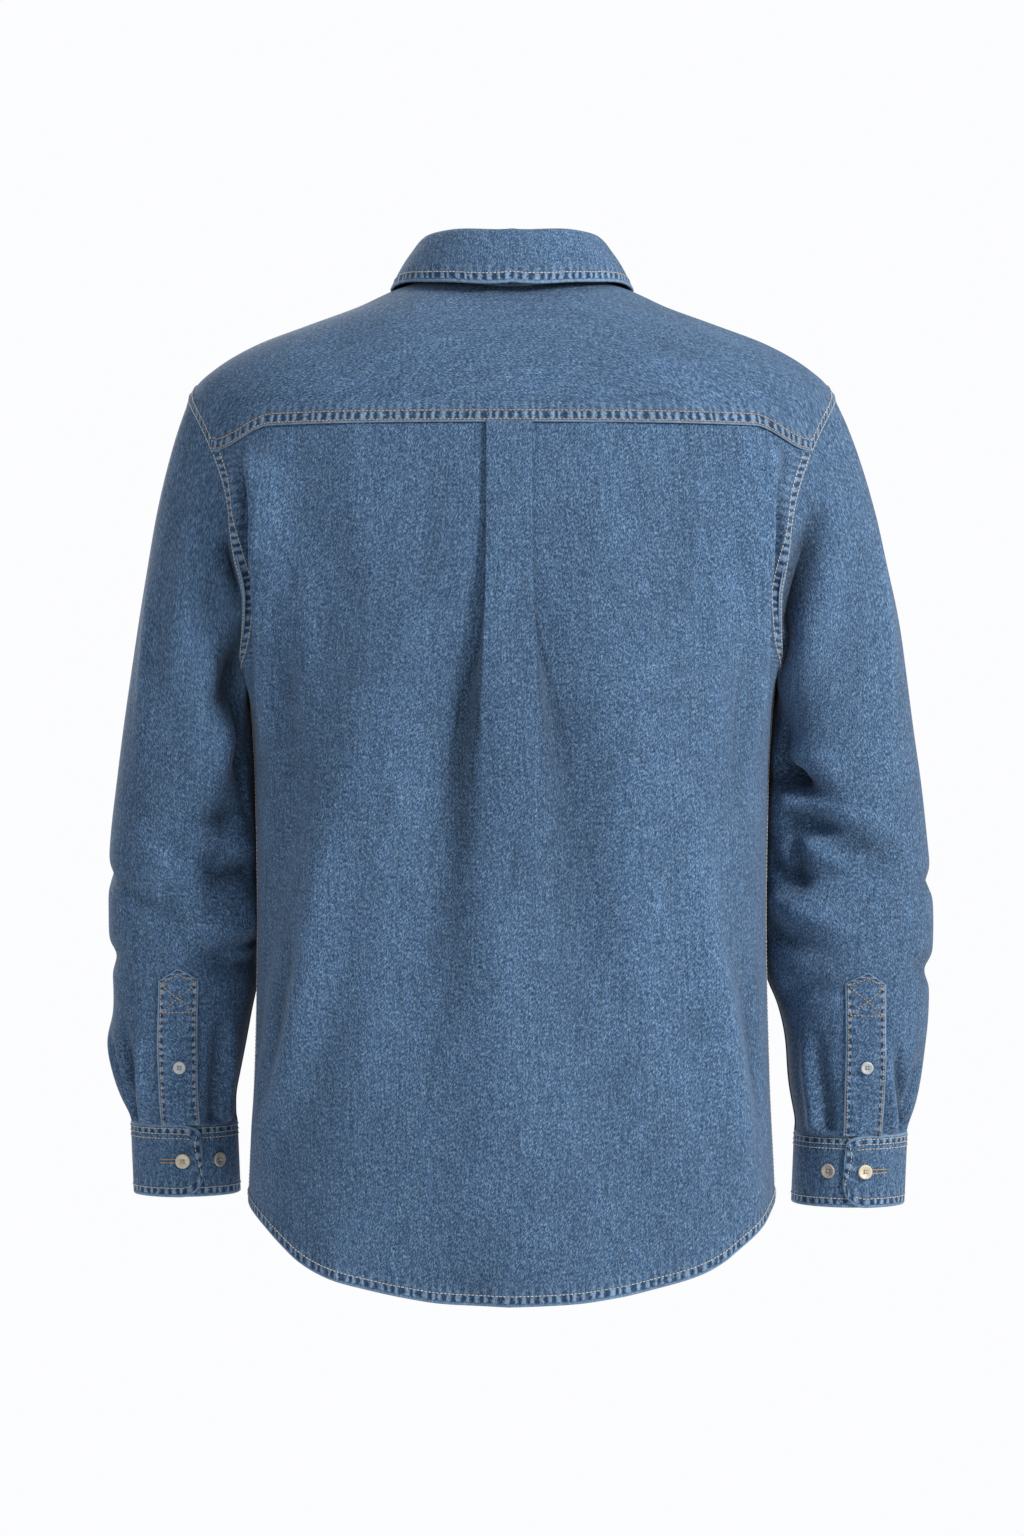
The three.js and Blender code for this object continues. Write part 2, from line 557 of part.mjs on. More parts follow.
function sleeveSurface({ mirror, rows, folds }) {
  const at = Object.fromEntries(
    ['outX', 'outZ', 'inX', 'inZ', 'midY', 'depth'].map((key) => [key, column(rows, null, key)]),
  );
  const ringRadius = 52; // for turning angles of the fold table into lengths
  const toLength = (angle) => rad(angle) * ringRadius;
  const lines = folds.map((fold) => ({
    ...fold,
    fromU: toLength(fold.fromAngle),
    fromV: fold.fromRing * RING_STEP,
    toU: toLength(fold.toAngle),
    toV: fold.toRing * RING_STEP,
  }));
  const power = 2 / SLEEVE_ROUNDNESS;
  const shaped = (value) => Math.sign(value) * Math.abs(value) ** power;
  const section = (angle, ring) => {
    const turn = rad(angle);
    const c = shaped(Math.cos(turn)) / 2;
    return vec(
      (at.outX(ring) + at.inX(ring)) / 2 + (at.outX(ring) - at.inX(ring)) * c,
      at.midY(ring) + at.depth(ring) * shaped(Math.sin(turn)),
      (at.outZ(ring) + at.inZ(ring)) / 2 + (at.outZ(ring) - at.inZ(ring)) * c,
    );
  };
  const onArmhole = (angle) => {
    const { z, around } = armholePlace(angle);
    return ringPoint(z, around);
  };
  // The first rings ease from the armhole's own shape into the plain sections.
  const plain = (angle, ring) => {
    const ease = (1 - smooth(ring / 5)) ** 1.2;
    const point = section(angle, ring);
    if (ease > 0) point.addScaledVector(onArmhole(angle).sub(section(angle, 0)), ease);
    const clear = torsoWidth(point.y, point.z) + SLEEVE_CLEAR * Math.min(1, ring / 1.5);
    if (point.x < clear) point.x = clear;
    return point;
  };
  const normalAt = (angle, ring) => {
    const down = plain(angle, ring + 0.25).sub(plain(angle, Math.max(0, ring - 0.25)));
    return down.cross(plain(angle + 2, ring).sub(plain(angle - 2, ring))).normalize();
  };
  const place = (angle, ring) => {
    const point = plain(angle, ring);
    const normal = normalAt(angle, ring);
    const turned = ((angle % 360) + 360) % 360;
    const nearest = [turned, turned - 360].map((a) => foldHeight(lines, toLength(a), ring * RING_STEP));
    const height = (nearest[0] + nearest[1]) * smooth(ring / 1.5) * smooth((rows.length - 1 - ring) / 1.5);
    point.addScaledVector(normal, height);
    const clear = torsoWidth(point.y, point.z) + SLEEVE_CLEAR * Math.min(1, ring / 1.5);
    if (point.x < clear) point.x = clear;
    return { point, normal };
  };
  const flip = ({ point, normal }) => ({
    point: point.setX(mirror * point.x),
    normal: normal.setX(mirror * normal.x),
  });
  return (angle, ring) => flip(place(angle, ring));
}

// At the armhole both cloths are cut along the direction between their two normals, so that they meet edge
// to edge. This gives that direction, already as long as the cloth needs, and the way across the seam.
function armholeMitre(side, angle) {
  const surface = sleeveSurface(side);
  const { z, around } = armholePlace(angle);
  const body = torsoPlace(z, side.mirror * around);
  const tangent = surface(angle + 3, 0).point.sub(surface(angle - 3, 0).point).normalize();
  const down = surface(angle, 0.5).point.sub(body.point);
  const sleeveNormal = down.clone().cross(tangent).normalize().multiplyScalar(side.mirror);
  const between = body.normal.clone().add(sleeveNormal);
  between.addScaledVector(tangent, -between.dot(tangent)).normalize();
  const across = tangent.clone().cross(between).normalize();
  if (across.dot(down) < 0) across.negate();
  const stretch = 1 / Math.max(0.5, between.dot(body.normal));
  return { point: body.point, mitre: between.multiplyScalar(stretch), across };
}

// At the end of a seam the place also moves a little towards a neighbour, to leave that seam its gap.
function toArmhole(place, side, angle, towards, neighbour) {
  const { point, mitre, across } = armholeMitre(side, angle);
  place.point.copy(point).addScaledVector(across, (towards * GAP) / 2);
  place.normal.copy(mitre);
  if (neighbour) {
    const away = neighbour.point.clone().sub(point).normalize();
    place.point.addScaledVector(away, GAP / 2);
  }
}

function sleeveGrid(side) {
  const surface = sleeveSurface(side);
  const grid = side.rows.map((_, ring) => armAngles.map((angle) => surface(angle, ring)));
  armAngles.forEach((angle, i) => toArmhole(grid[0][i], side, angle, 1));
  grid.at(-1).forEach((place) => {
    place.normal.z = 0;
    place.normal.normalize();
  });
  return grid;
}

// A sleeve's grid column, which may be a fraction, at an angle.
function armColumn(angle) {
  const turned = angle < armAngles[0] ? angle + 360 : angle;
  const next = armAngles.findIndex((a) => a > turned);
  const high = next < 0 ? armAngles.length : next;
  const highAngle = next < 0 ? armAngles[0] + 360 : armAngles[next];
  return high - (highAngle - turned) / (highAngle - armAngles[high - 1]);
}

// Torso panels

// Cells on the torso between four borders, each a list of { z, share }, where share is the part of the half
// ring. The borders meet at the corners. Columns are spaced as the bottom border's shares are.
function patch(top, bottom, first, last) {
  const rows = first.length;
  const cols = top.length;
  const us = bottom.map(({ share }) => (share - bottom[0].share) / (bottom[cols - 1].share - bottom[0].share));
  const cell = (r, c, key) => {
    const v = r / (rows - 1);
    const u = us[c];
    const ruled = mix(top[c][key], bottom[c][key], v) + mix(first[r][key], last[r][key], u);
    const upper = mix(top[0][key], top[cols - 1][key], u);
    const lower = mix(bottom[0][key], bottom[cols - 1][key], u);
    return ruled - mix(upper, lower, v);
  };
  return range(rows).map((r) => range(cols).map((c) => ({ z: cell(r, c, 'z'), share: cell(r, c, 'share') })));
}

// The same in space: the cells lie between the borders' points, and are then moved onto the torso along lines
// that come from inside it.
function patchInSpace(top, bottom, first, last) {
  const onTorso = (list) => list.map(({ z, share }) => ringPoint(z, share * halfRing(z).total));
  const [above, below, start, end] = [top, bottom, first, last].map(onTorso);
  const rows = start.length;
  const cols = above.length;
  return range(rows).map((r) =>
    range(cols).map((c) => {
      if (r === 0) return top[c];
      if (r === rows - 1) return bottom[c];
      if (c === 0) return first[r];
      if (c === cols - 1) return last[r];
      const v = r / (rows - 1);
      const u = c / (cols - 1);
      const point = above[c].clone().lerp(below[c], v).add(start[r].clone().lerp(end[r], u));
      point.sub(above[0].clone().lerp(above[cols - 1], u).lerp(below[0].clone().lerp(below[cols - 1], u), v));
      return ontoTorso(point);
    }),
  );
}

// The torso's place on the line that comes from inside and passes through a point.
function ontoTorso(point) {
  const inside = vec(0.75 * point.x, 0.25 * point.y, Math.min(point.z, -130));
  let low = 0;
  let high = 4;
  for (let i = 0; i < 40; i += 1) {
    const t = (low + high) / 2;
    const at = inside.clone().lerp(point, t);
    if (at.z < TORSO_ROWS[0].z && torsoWidth(at.y, at.z) > Math.abs(at.x)) low = t;
    else high = t;
  }
  const { x, y, z } = inside.clone().lerp(point, low);
  const depth = y >= 0 ? backAt(z) : frontAt(z);
  const turn = Math.atan2((Math.abs(x) / wideAt(z)) ** (ROUNDNESS / 2), (Math.abs(y) / depth) ** (ROUNDNESS / 2));
  const index = ((y >= 0 ? turn : Math.PI - turn) / Math.PI) * RING_SAMPLES;
  const { lengths, total } = halfRing(z);
  const at = Math.min(Math.floor(index), RING_SAMPLES - 1);
  return { z, share: (Math.sign(x) * mix(lengths[at], lengths[at + 1], index - at)) / total };
}

const asShare = ({ z, around }) => ({ z, share: around / halfRing(z).total });
const armShare = (angle) => asShare(armholePlace(angle));
const mirrored = (list) => list.map(({ z, share }) => ({ z, share: -share }));

// The front yoke seam, from the neck to the armhole, parallel to the shoulder.
function frontSeam() {
  const neck = neckPlace(NECK_CORNER_ANGLE);
  const arm = armholePlace(YOKE_FRONT_ANGLE);
  const end = ringPoint(arm.z, arm.around);
  return steps(0, 1, FRONT_SEAM_STEPS).map((t) => {
    if (t === 0) return asShare(neck);
    if (t === 1) return asShare(arm);
    const y = mix(neck.y, end.y, t);
    const z = torsoTop(mix(neck.x, end.x, t), y);
    return asShare({ z, around: aroundAtDepth(z, y) });
  });
}

// A place on the back yoke seam, at a length round the ring that ends at the armhole.
function backSeam(around) {
  const arm = armholePlace(YOKE_BACK_ANGLE);
  if (Math.abs(Math.abs(around) - arm.around) < 1e-6) return { z: arm.z, around };
  return { z: yokeSeamZ(ringPoint(YOKE_SEAM.middleZ, around).x), around };
}

// The yoke lies round the neck: its rows run from the outer edge up to the neck opening.
function yokeGrid() {
  const arm = armholePlace(YOKE_BACK_ANGLE);
  const pleatEnd = pleatSection(YOKE_SEAM.middleZ).at(-1).out;
  const backEnds = [0, pleatEnd, ...BEYOND_PLEAT.map((t) => mix(pleatEnd, arm.around, t))];
  const seam = backEnds.map((around) => asShare(backSeam(around)));
  const outerHalf = [...seam, ...yokeArmAngles.slice(1).map(armShare)];
  const neckHalf = yokeNeckAngles.map((angle) => asShare(neckPlace(angle)));
  const side = frontSeam().toReversed();
  const whole = (half) => [...mirrored(half).toReversed().slice(0, -1), ...half];
  const sides = [mirrored(side.toReversed()), side.toReversed()];
  const cells = patchInSpace(whole(neckHalf), whole(outerHalf), ...sides);
  const grid = cells.toReversed().map((row) =>
    row.map(({ z, share }) => torsoPlace(z, share * halfRing(z).total, { folded: true })),
  );
  inset(grid, 'top');
  inset(grid, 'first');
  inset(grid, 'last');
  SIDES.forEach((side) => {
    yokeArmAngles.forEach((angle, i) => {
      const col = outerHalf.length - 1 + side.mirror * (seam.length - 1 + i);
      const away = { 0: grid[1][col], [YOKE_ARM_STEPS]: grid[0][col - side.mirror] }[i];
      toArmhole(grid[0][col], side, angle, -1, away);
    });
  });
  return grid;
}

// Where a front's columns are, from the middle line on: first across the placket, then out to its side.
const OVER_EDGES = [-PLACKET_HALF_WIDTH, 0, PLACKET_HALF_WIDTH, PLACKET_HALF_WIDTH + 5];
const UNDER_EDGES = [-PLACKET_HALF_WIDTH + 2, 0, PLACKET_HALF_WIDTH + 1, PLACKET_HALF_WIDTH + 5];
const PLACKET_COLUMNS = 3;

// The angle round the neck of a place that far beside the middle of the front.
const neckAngleAt = (beside) => 180 - THREE.MathUtils.radToDeg(Math.asin(beside / neckRadiusAt(180)));

// One front, from its free edge to the side seam. The wearer's left one lies over the right one, which
// steps in under it.
function frontGrid(side) {
  const edges = side.mirror > 0 ? OVER_EDGES : UNDER_EDGES;
  const sunk = edges.map((_, i) => side.mirror < 0 && i < edges.length - 1);
  const neckAngles = [
    ...edges.slice(0, -1).map(neckAngleAt),
    ...steps(neckAngleAt(edges.at(-1)), NECK_CORNER_ANGLE, FRONT_STEPS),
  ];
  const sideTop = [...frontSeam(), ...frontArmAngles.slice(1).map((angle) => armShare(angle))];
  const columns = neckAngles.length;
  const rowCount = sideTop.length;
  const besideAt = (z, c, edge) => {
    const total = halfRing(z).total;
    if (c < edges.length) return total - edges[c];
    return mix(total - edges.at(-1), edge, (c - edges.length + 1) / FRONT_STEPS);
  };
  const shareAt = (z, c, edge) => besideAt(z, c, edge) / halfRing(z).total;
  const neck = neckAngles.map((angle) => asShare(frontNeckPlace(angle)));
  const underarm = range(columns).map((c) => ({
    z: UNDERARM_Z,
    share: shareAt(UNDERARM_Z, c, aroundAtDepth(UNDERARM_Z, 0)),
  }));
  const free = sideTop.map((_, r) => {
    const z = mix(neck[0].z, UNDERARM_Z, r / (rowCount - 1));
    return { z, share: shareAt(z, 0, 0) };
  });
  const upper = patch(neck, underarm, free, sideTop).map((cells) =>
    cells.map(({ z, share }, c) => {
      const straight = c < edges.length;
      return { z, around: straight ? besideAt(z, c, 0) : share * halfRing(z).total };
    }),
  );
  const lower = steps(0, 1, BODY_STEPS).slice(1).map((v) =>
    range(columns).map((c) => {
      const guess = mix(UNDERARM_Z, FRONT_HEM_Z, v);
      const reach = halfRing(guess).total;
      const share = (reach - besideAt(guess, c, aroundAtDepth(guess, 0))) / (reach - aroundAtDepth(guess, 0));
      const z = mix(UNDERARM_Z, hemZ(Math.abs(share), true), v);
      return { z, around: besideAt(z, c, aroundAtDepth(z, 0)) };
    }),
  );
  const grid = [...upper, ...lower].map((cells) =>
    cells.map(({ z, around }, c) => {
      const place = torsoPlace(z, around, { folded: true });
      if (sunk[c]) place.point.addScaledVector(place.normal, -CLOTH - 0.7);
      place.point.x *= side.mirror;
      place.normal.x *= side.mirror;
      return place;
    }),
  );
  range(FRONT_SEAM_STEPS + 1).forEach((r) => insetOne(grid, r));
  range(BODY_STEPS).forEach((r) => insetOne(grid, rowCount + r));
  frontArmAngles.forEach((angle, i) => {
    const row = grid[FRONT_SEAM_STEPS + i];
    const below = grid[FRONT_SEAM_STEPS + i + 1][columns - 1];
    const away = { 0: below, [FRONT_ARM_STEPS]: row[columns - 2] }[i];
    toArmhole(row[columns - 1], side, angle, -1, away);
  });
  return grid;
}

// The neck's place at an angle that may run past the middle of the front.
function frontNeckPlace(angle) {
  if (angle <= 180) return neckPlace(angle);
  const twin = neckPlace(360 - angle);
  return { z: twin.z, around: 2 * halfRing(twin.z).total - twin.around };
}

// Back panel

// The pleat's section at a level, on one side: how far each piece of cloth has moved out from the middle,
// how high it lies over the panel's middle layer, and how far it has turned.
function pleatSection(z) {
  const turn = rad(pleatAt.turn(z));
  const [under, bend, box, sink] = ['under', 'bend', 'box', 'sink'].map((key) => pleatAt[key](z));
  const phases = [0, box / 2, box, ...[0.25, 0.5, 0.75, 1].map((t) => box + bend * t)];
  phases.push(box + bend + under / 2);
  phases.push(...[0, 0.25, 0.5, 0.75, 1].map((t) => box + bend + under + bend * t));
  const turnAt = (c) => turn * clamp((c - box) / bend, 0, 1) * (1 - clamp((c - box - bend - under) / bend, 0, 1));
  const fine = 0.05;
  const end = phases.at(-1);
  const count = Math.ceil(end / fine);
  const out = [0];
  const drop = [0];
  for (let i = 1; i <= count; i += 1) {
    const angle = turnAt((i - 0.5) * (end / count));
    out.push(out[i - 1] + (Math.cos(angle) * end) / count);
    drop.push(drop[i - 1] + (Math.sin(angle) * end) / count);
  }
  return phases.map((c) => {
    const i = Math.round((c / end) * count);
    return { out: out[i], lift: drop[count] - drop[i] - sink, turn: turnAt(c), sink };
  });
}

// The back's columns at one level, on the +X side: how far round each lies.
function backArounds(z, edgeAround) {
  const section = pleatSection(z);
  const end = section.at(-1).out;
  return [...section.map(({ out }) => out), ...BEYOND_PLEAT.map((t) => mix(end, edgeAround, t))];
}

// One place of the back, in a column counted from the middle, at a level.
function backPlace(z, edgeAround, column, sign) {
  const section = pleatSection(z);
  const around = backArounds(z, edgeAround)[column];
  const place = torsoPlace(z, sign * around, { folded: true });
  const { point, normal, round } = place;
  if (column >= section.length) {
    const beside = (around - section.at(-1).out) / SINK_REACH;
    const settled = smooth((edgeAround - around) / 30);
    point.addScaledVector(normal, -section.at(-1).sink * Math.exp(-(beside ** 2)) * settled);
    return place;
  }
  const { lift, turn } = section[column];
  const facing = normal.clone().multiplyScalar(Math.cos(turn)).addScaledVector(round, sign * Math.sin(turn));
  point.addScaledVector(normal, lift - CLOTH / 2).addScaledVector(facing, CLOTH / 2);
  return { point, normal: facing };
}

function backGrid() {
  const armTop = armholePlace(YOKE_BACK_ANGLE);
  const seam = backArounds(YOKE_SEAM.middleZ, armTop.around).map((around) => backSeam(around).z);
  const half = seam.length - 1;
  const rows = backArmAngles.map((angle) => {
    const { z, around } = armholePlace(angle);
    const share = (armTop.z - z) / (armTop.z - UNDERARM_Z);
    const levels = seam.map((top, c) => (c === half ? z : mix(top, UNDERARM_Z, share)));
    return { levels, edge: () => around };
  });
  steps(0, 1, BODY_STEPS).slice(1).forEach((v) => {
    const guess = mix(UNDERARM_Z, BACK_HEM_Z, v);
    const side = aroundAtDepth(guess, 0);
    const levels = backArounds(guess, side).map((around) => mix(UNDERARM_Z, hemZ(around / side, false), v));
    rows.push({ levels, edge: (z) => aroundAtDepth(z, 0) });
  });
  const grid = rows.map(({ levels, edge }) => {
    const places = (sign) => levels.map((z, c) => backPlace(z, edge(z), c, sign));
    return [...places(-1).toReversed().slice(0, -1), ...places(1)];
  });
  grid[0].forEach(({ point }) => {
    point.z -= GAP / 2;
  });
  inset(grid, 'first');
  inset(grid, 'last');
  SIDES.forEach((side) => {
    backArmAngles.forEach((angle, i) => {
      const row = grid[i];
      const at = (depth) => row[side.mirror > 0 ? row.length - 1 - depth : depth];
      const away = { 0: grid[1][side.mirror > 0 ? row.length - 1 : 0], [BACK_ARM_STEPS]: at(1) }[i];
      toArmhole(at(0), side, angle, -1, away);
    });
  });
  return grid;
}

// Front closure

// The placket lies on the left front, so it is made from that front's own first columns.
function placketGrid(front) {
  const rows = [0.12, ...range(front.length).slice(1)];
  const lift = CLOTH + 0.4;
  return rows.map((row) => range(PLACKET_COLUMNS).map((col) => betweenPlaces(front, row, col, lift)));
}

// Collar

// Angles at which the panels have a corner on the neck opening, past the middle of the front to the end of
// the left front. Between two of them the edge of the cloth is straight.
const neckCorners = [
  ...yokeNeckAngles,
  ...steps(NECK_CORNER_ANGLE, neckAngleAt(OVER_EDGES.at(-1)), FRONT_STEPS).slice(1),
  ...OVER_EDGES.slice(0, -1).toReversed().map(neckAngleAt),
];

// The collar's own frame at an angle from the middle of the back: outward, and the neck opening there.
function neckFrame(angle) {
  const sign = Math.sign(angle) || 1;
  const reach = Math.abs(angle);
  const next = clamp(neckCorners.findIndex((corner) => corner > reach), 1, neckCorners.length - 1);
  const ended = reach >= neckCorners.at(-1) ? neckCorners.length - 1 : next;
  const [low, high] = [neckCorners[ended - 1], neckCorners[ended]];
  const cornerPoint = (corner) => {
    const { z, around } = frontNeckPlace(corner);
    return ringPoint(z, around);
  };
  const base = cornerPoint(low).lerp(cornerPoint(high), (reach - low) / (high - low));
  base.x *= sign;
  const out = vec(sign * Math.sin(rad(reach)), Math.cos(rad(reach)), 0);
  return { base, out, angle: reach > 180 ? 360 - reach : reach };
}

const STAND_CLEAR = 0.5; // between the neck opening's edge and the stand
const STAND_LAP_ANGLE = neckCorners.at(-1) - 180;
const STAND_LAP = 1.5; // how far each end of the stand moves in or out where they lap

function standShift(angle) {
  return Math.sign(angle) * STAND_LAP * smooth((Math.abs(angle) - 150) / 16);
}

function standGrid() {
  const end = 180 + STAND_LAP_ANGLE;
  const half = [...neckCorners.slice(0, -1), end - 7, end - 2, end];
  const angles = [...half.slice(1).toReversed().map((angle) => -angle), ...half];
  return [1, 0.66, 0.33, 0].map((height) =>
    angles.map((angle) => {
      const { base, out, angle: folded } = neckFrame(angle);
      const shift = standShift(angle) + DOUBLE_CLOTH / 2;
      const ended = 1 - smooth((Math.abs(angle) - 180) / STAND_LAP_ANGLE);
      const rise = standRiseAt(folded) * mix(0.72, 1, ended) * height;
      const point = base.clone().addScaledVector(out, shift - standLeanAt(folded) * height);
      point.z += STAND_CLEAR + rise;
      return { point, normal: out.clone() };
    }),
  );
}

function fallGrid() {
  const columns = steps(-1, 1, 40);
  const drops = [0.2, 0.45, 0.72, 1];
  return range(ROLL.length + drops.length).map((row) =>
    columns.map((w) => {
      const top = neckFrame(FALL_TOP_END * w);
      const edgeAngle = FALL_ROWS.at(-1).angle * w;
      const edgeRadius = fallRadiusAt(Math.abs(edgeAngle));
      const edgeX = edgeRadius * Math.sin(rad(edgeAngle));
      const edgeY = edgeRadius * Math.cos(rad(edgeAngle));
      const edgeZ = torsoTop(edgeX, edgeY);
      const under = torsoPlace(edgeZ, Math.sign(edgeX || 1) * aroundAtDepth(edgeZ, edgeY));
      const edge = under.point.addScaledVector(under.normal, fallLiftAt(Math.abs(edgeAngle)));
      const lean = standLeanAt(top.angle);
      const shift = standShift(FALL_TOP_END * w);
      const standTop = top.base.clone().addScaledVector(top.out, shift - lean);
      standTop.z += STAND_CLEAR + standRiseAt(top.angle);
      const rolled = ({ out, up }) => standTop.clone().addScaledVector(top.out, out).add(vec(0, 0, up));
      const path = ROLL.map(rolled);
      const start = path.at(-1);
      drops.forEach((t) => {
        const point = start.clone().lerp(edge, t);
        point.addScaledVector(top.out, 2.5 * Math.sin(Math.PI * t));
        path.push(point);
      });
      const along = path[Math.min(row + 1, path.length - 1)].clone().sub(path[Math.max(row - 1, 0)]);
      const flat = vec(top.out.x, top.out.y, 0);
      const normal = flat.multiplyScalar(-along.z).add(vec(0, 0, along.dot(top.out))).normalize();
      if (row === 0) normal.copy(top.out).negate();
      const point = path[row].clone().addScaledVector(normal, DOUBLE_CLOTH / 2);
      return { point, normal };
    }),
  );
}

// Cuffs and sleeve plackets

function cuffAngles({ overEnd }) {
  const over = 360 + overEnd;
  return [...steps(CUFF_BEGIN, 355, 22), ...steps(370, over - 14, 7), over - 8, over - 3, over];
}

function cuffGrid(side) {
  const last = side.rows.at(-1);
  const over = 360 + side.overEnd;
  const angles = cuffAngles(side);
  const halfWide = (last.outX - last.inX) / 2;
  return steps(0, 1, 4).map((v) =>
    angles.map((angle) => {
      const fromEnd = rad(over - angle) * halfWide;
      const corner = clamp(1 - fromEnd / 17, 0, 1);
      const cut = 17 * (1 - Math.sqrt(1 - corner ** 2));
      const topCut = 0.45 * cut;
      const z = last.outZ - GAP - topCut - (CUFF_HEIGHT - topCut - cut) * v;
      const lapIn = -CUFF_LAP * (1 - smooth((angle - CUFF_BEGIN - 60) / 40));
      const lapOut = CUFF_LAP * smooth((angle - 360) / 30);
      const shift = lapIn + lapOut + DOUBLE_CLOTH / 2 - 0.5;
      const out = vec(Math.cos(rad(angle)), Math.sin(rad(angle)), 0);
      const middle = vec((last.outX + last.inX) / 2 - 2 * v, last.midY - 3 * v, 0);
      const point = middle.add(vec(halfWide * out.x, last.depth * out.y, 0)).addScaledVector(out, shift);
      return {
        point: vec(side.mirror * point.x, point.y, z),
        normal: vec(side.mirror * out.x, out.y, 0),
      };
    }),
  );
}

// A table's row at a number that may be a fraction.
function rowBetween(rows, at) {
  const low = Math.min(Math.floor(at), rows.length - 2);
  const keys = Object.keys(rows[low]);
  return Object.fromEntries(keys.map((key) => [key, mix(rows[low][key], rows[low + 1][key], at - low)]));
}

function sleevePlacketGrid(side, sleeve) {
  const { halfWidth, topRing, point } = SLEEVE_PLACKET;
  const lastRing = side.rows.length - 1;
  const pointRings = point / 25; // the rings are about 25 mm apart there
  const inner = range(lastRing).filter((ring) => ring > topRing + pointRings + 0.1);
  const rings = [topRing, topRing + pointRings, ...inner, lastRing - 0.1];
  return rings.map((ring, i) => {
    const row = rowBetween(side.rows, ring);
    const radius = (row.outX - row.inX + 2 * row.depth) / 4;
    const half = i === 0 ? 1 : halfWidth;
    const offset = (2 * side.placketX - row.outX - row.inX) / (row.outX - row.inX);
    const cosine = Math.sign(offset) * Math.abs(offset) ** (SLEEVE_ROUNDNESS / 2);
    const middle = THREE.MathUtils.radToDeg(Math.acos(cosine));
    return steps(-half, half, 4).map((beside) => {
      const angle = middle + THREE.MathUtils.radToDeg(beside / radius);
      return betweenPlaces(sleeve, ring, armColumn(angle), CLOTH + 0.9, { wrap: true });
    });
  });
}

// Buttons: a turned disc with a raised rim, its back on the plane z = 0
function buttonGeometry(radius = BUTTON.radius) {
  const profile = [
    [0, 0],
    [radius - 0.6, 0],
    [radius, 0.9],
    [radius - 0.5, BUTTON.rim],
    [radius - 1.8, BUTTON.rim - 0.2],
    [radius - 2.5, BUTTON.dish],
    [0, BUTTON.dish],
  ];
  return new THREE.LatheGeometry(profile.map(([x, y]) => new THREE.Vector2(x, y)), BUTTON.facets);
}

// A button facing along a normal, its back just clear of a point.
function placeButton(name, point, normal, material, radius) {
  const mesh = new THREE.Mesh(buttonGeometry(radius), material);
  mesh.name = name;
  mesh.position.copy(point).addScaledVector(normal, 0.4);
  mesh.quaternion.setFromUnitVectors(vec(0, 1, 0), normal.clone().normalize());
  return mesh;
}

// The shirt

const denim = new THREE.MeshStandardMaterial({ color: 0x4a6a92, roughness: 0.92, metalness: 0 });
const denimWorn = new THREE.MeshStandardMaterial({ color: 0x56749a, roughness: 0.92, metalness: 0 });
const buttonHorn = new THREE.MeshStandardMaterial({ color: 0xd8ccb6, roughness: 0.4, metalness: 0 });
const shirt = new THREE.Group();

function addWall(name, grid, thickness, material, options) {
  const mesh = new THREE.Mesh(wall(grid, thickness, options), material);
  mesh.name = name;
  shirt.add(mesh);
}

const [leftSide, rightSide] = SIDES;
const frontLeft = frontGrid(leftSide);
const placket = placketGrid(frontLeft);
const stand = standGrid();
addWall('yoke', yokeGrid(), CLOTH, denim);
addWall('back_panel', backGrid(), CLOTH, denim);
addWall('front_left', frontLeft, CLOTH, denim);
addWall('front_right', frontGrid(rightSide), CLOTH, denim);
addWall('front_placket', placket, CLOTH, denimWorn);
addWall('collar_stand', stand, DOUBLE_CLOTH, denimWorn);
addWall('collar_fall', fallGrid(), DOUBLE_CLOTH, denimWorn);

range(FRONT_BUTTONS.count).forEach((i) => {
  const z = FRONT_BUTTONS.firstZ - FRONT_BUTTONS.spacing * i;
  const next = placket.findIndex((row) => row[1].point.z < z);
  const [above, below] = [placket[next - 1][1].point.z, placket[next][1].point.z];
  const row = next - (z - below) / (above - below);
  const { point, normal } = betweenPlaces(placket, row, 1, 0);
  shirt.add(placeButton(`front_button_${i + 1}`, point, normal, buttonHorn));
});
const standMiddle = stand[0].length - 1 - 3;
const standSeat = facetSeat(stand, 1.5, standMiddle);
shirt.add(placeButton('stand_button', standSeat.point, standSeat.normal, buttonHorn, STAND_BUTTON_RADIUS));

SIDES.forEach((side) => {
  const sleeve = sleeveGrid(side);
  const strip = sleevePlacketGrid(side, sleeve);
  const cuff = cuffGrid(side);
  addWall(`sleeve_${side.name}`, sleeve, CLOTH, denim, { wrap: true });
  addWall(`sleeve_placket_${side.name}`, strip, CLOTH, denimWorn);
  addWall(`cuff_${side.name}`, cuff, DOUBLE_CLOTH, denimWorn);
  const under = strip.findIndex((row) => row[2].point.z < SLEEVE_PLACKET.buttonZ);
  const [over, beneath] = [strip[under - 1][2].point.z, strip[under][2].point.z];
  const seat = facetSeat(strip, under - (SLEEVE_PLACKET.buttonZ - beneath) / (over - beneath), 2);
  shirt.add(placeButton(`sleeve_button_${side.name}`, seat.point, seat.normal, buttonHorn, 5));
  side.buttonTurns.forEach((turn, i) => {
    const goal = side.overEnd + turn + (turn < 0 ? 360 : 0);
    const angles = cuffAngles(side);
    const col = angles.findIndex((angle) => angle > goal);
    const on = facetSeat(cuff, 2, col - (angles[col] - goal) / (angles[col] - angles[col - 1]));
    shirt.add(placeButton(`cuff_button_${side.name}_${i + 1}`, on.point, on.normal, buttonHorn));
  });
});

export default shirt;
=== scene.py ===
# The denim shirt's looks: thin cloth with its folds, laps and stitching, buttons, light and camera.
#
# The surfaces follow the CAD's functions, in millimetres, sampled more finely, with folds and seams laid
# on them. Two things differ from the CAD: the sleeves' inner sides come nearer to the body, so that
# no daylight shows between them, and the pleat's box is narrower.
import math

import bmesh
import bpy
import numpy as np
from mathutils import Matrix, Vector


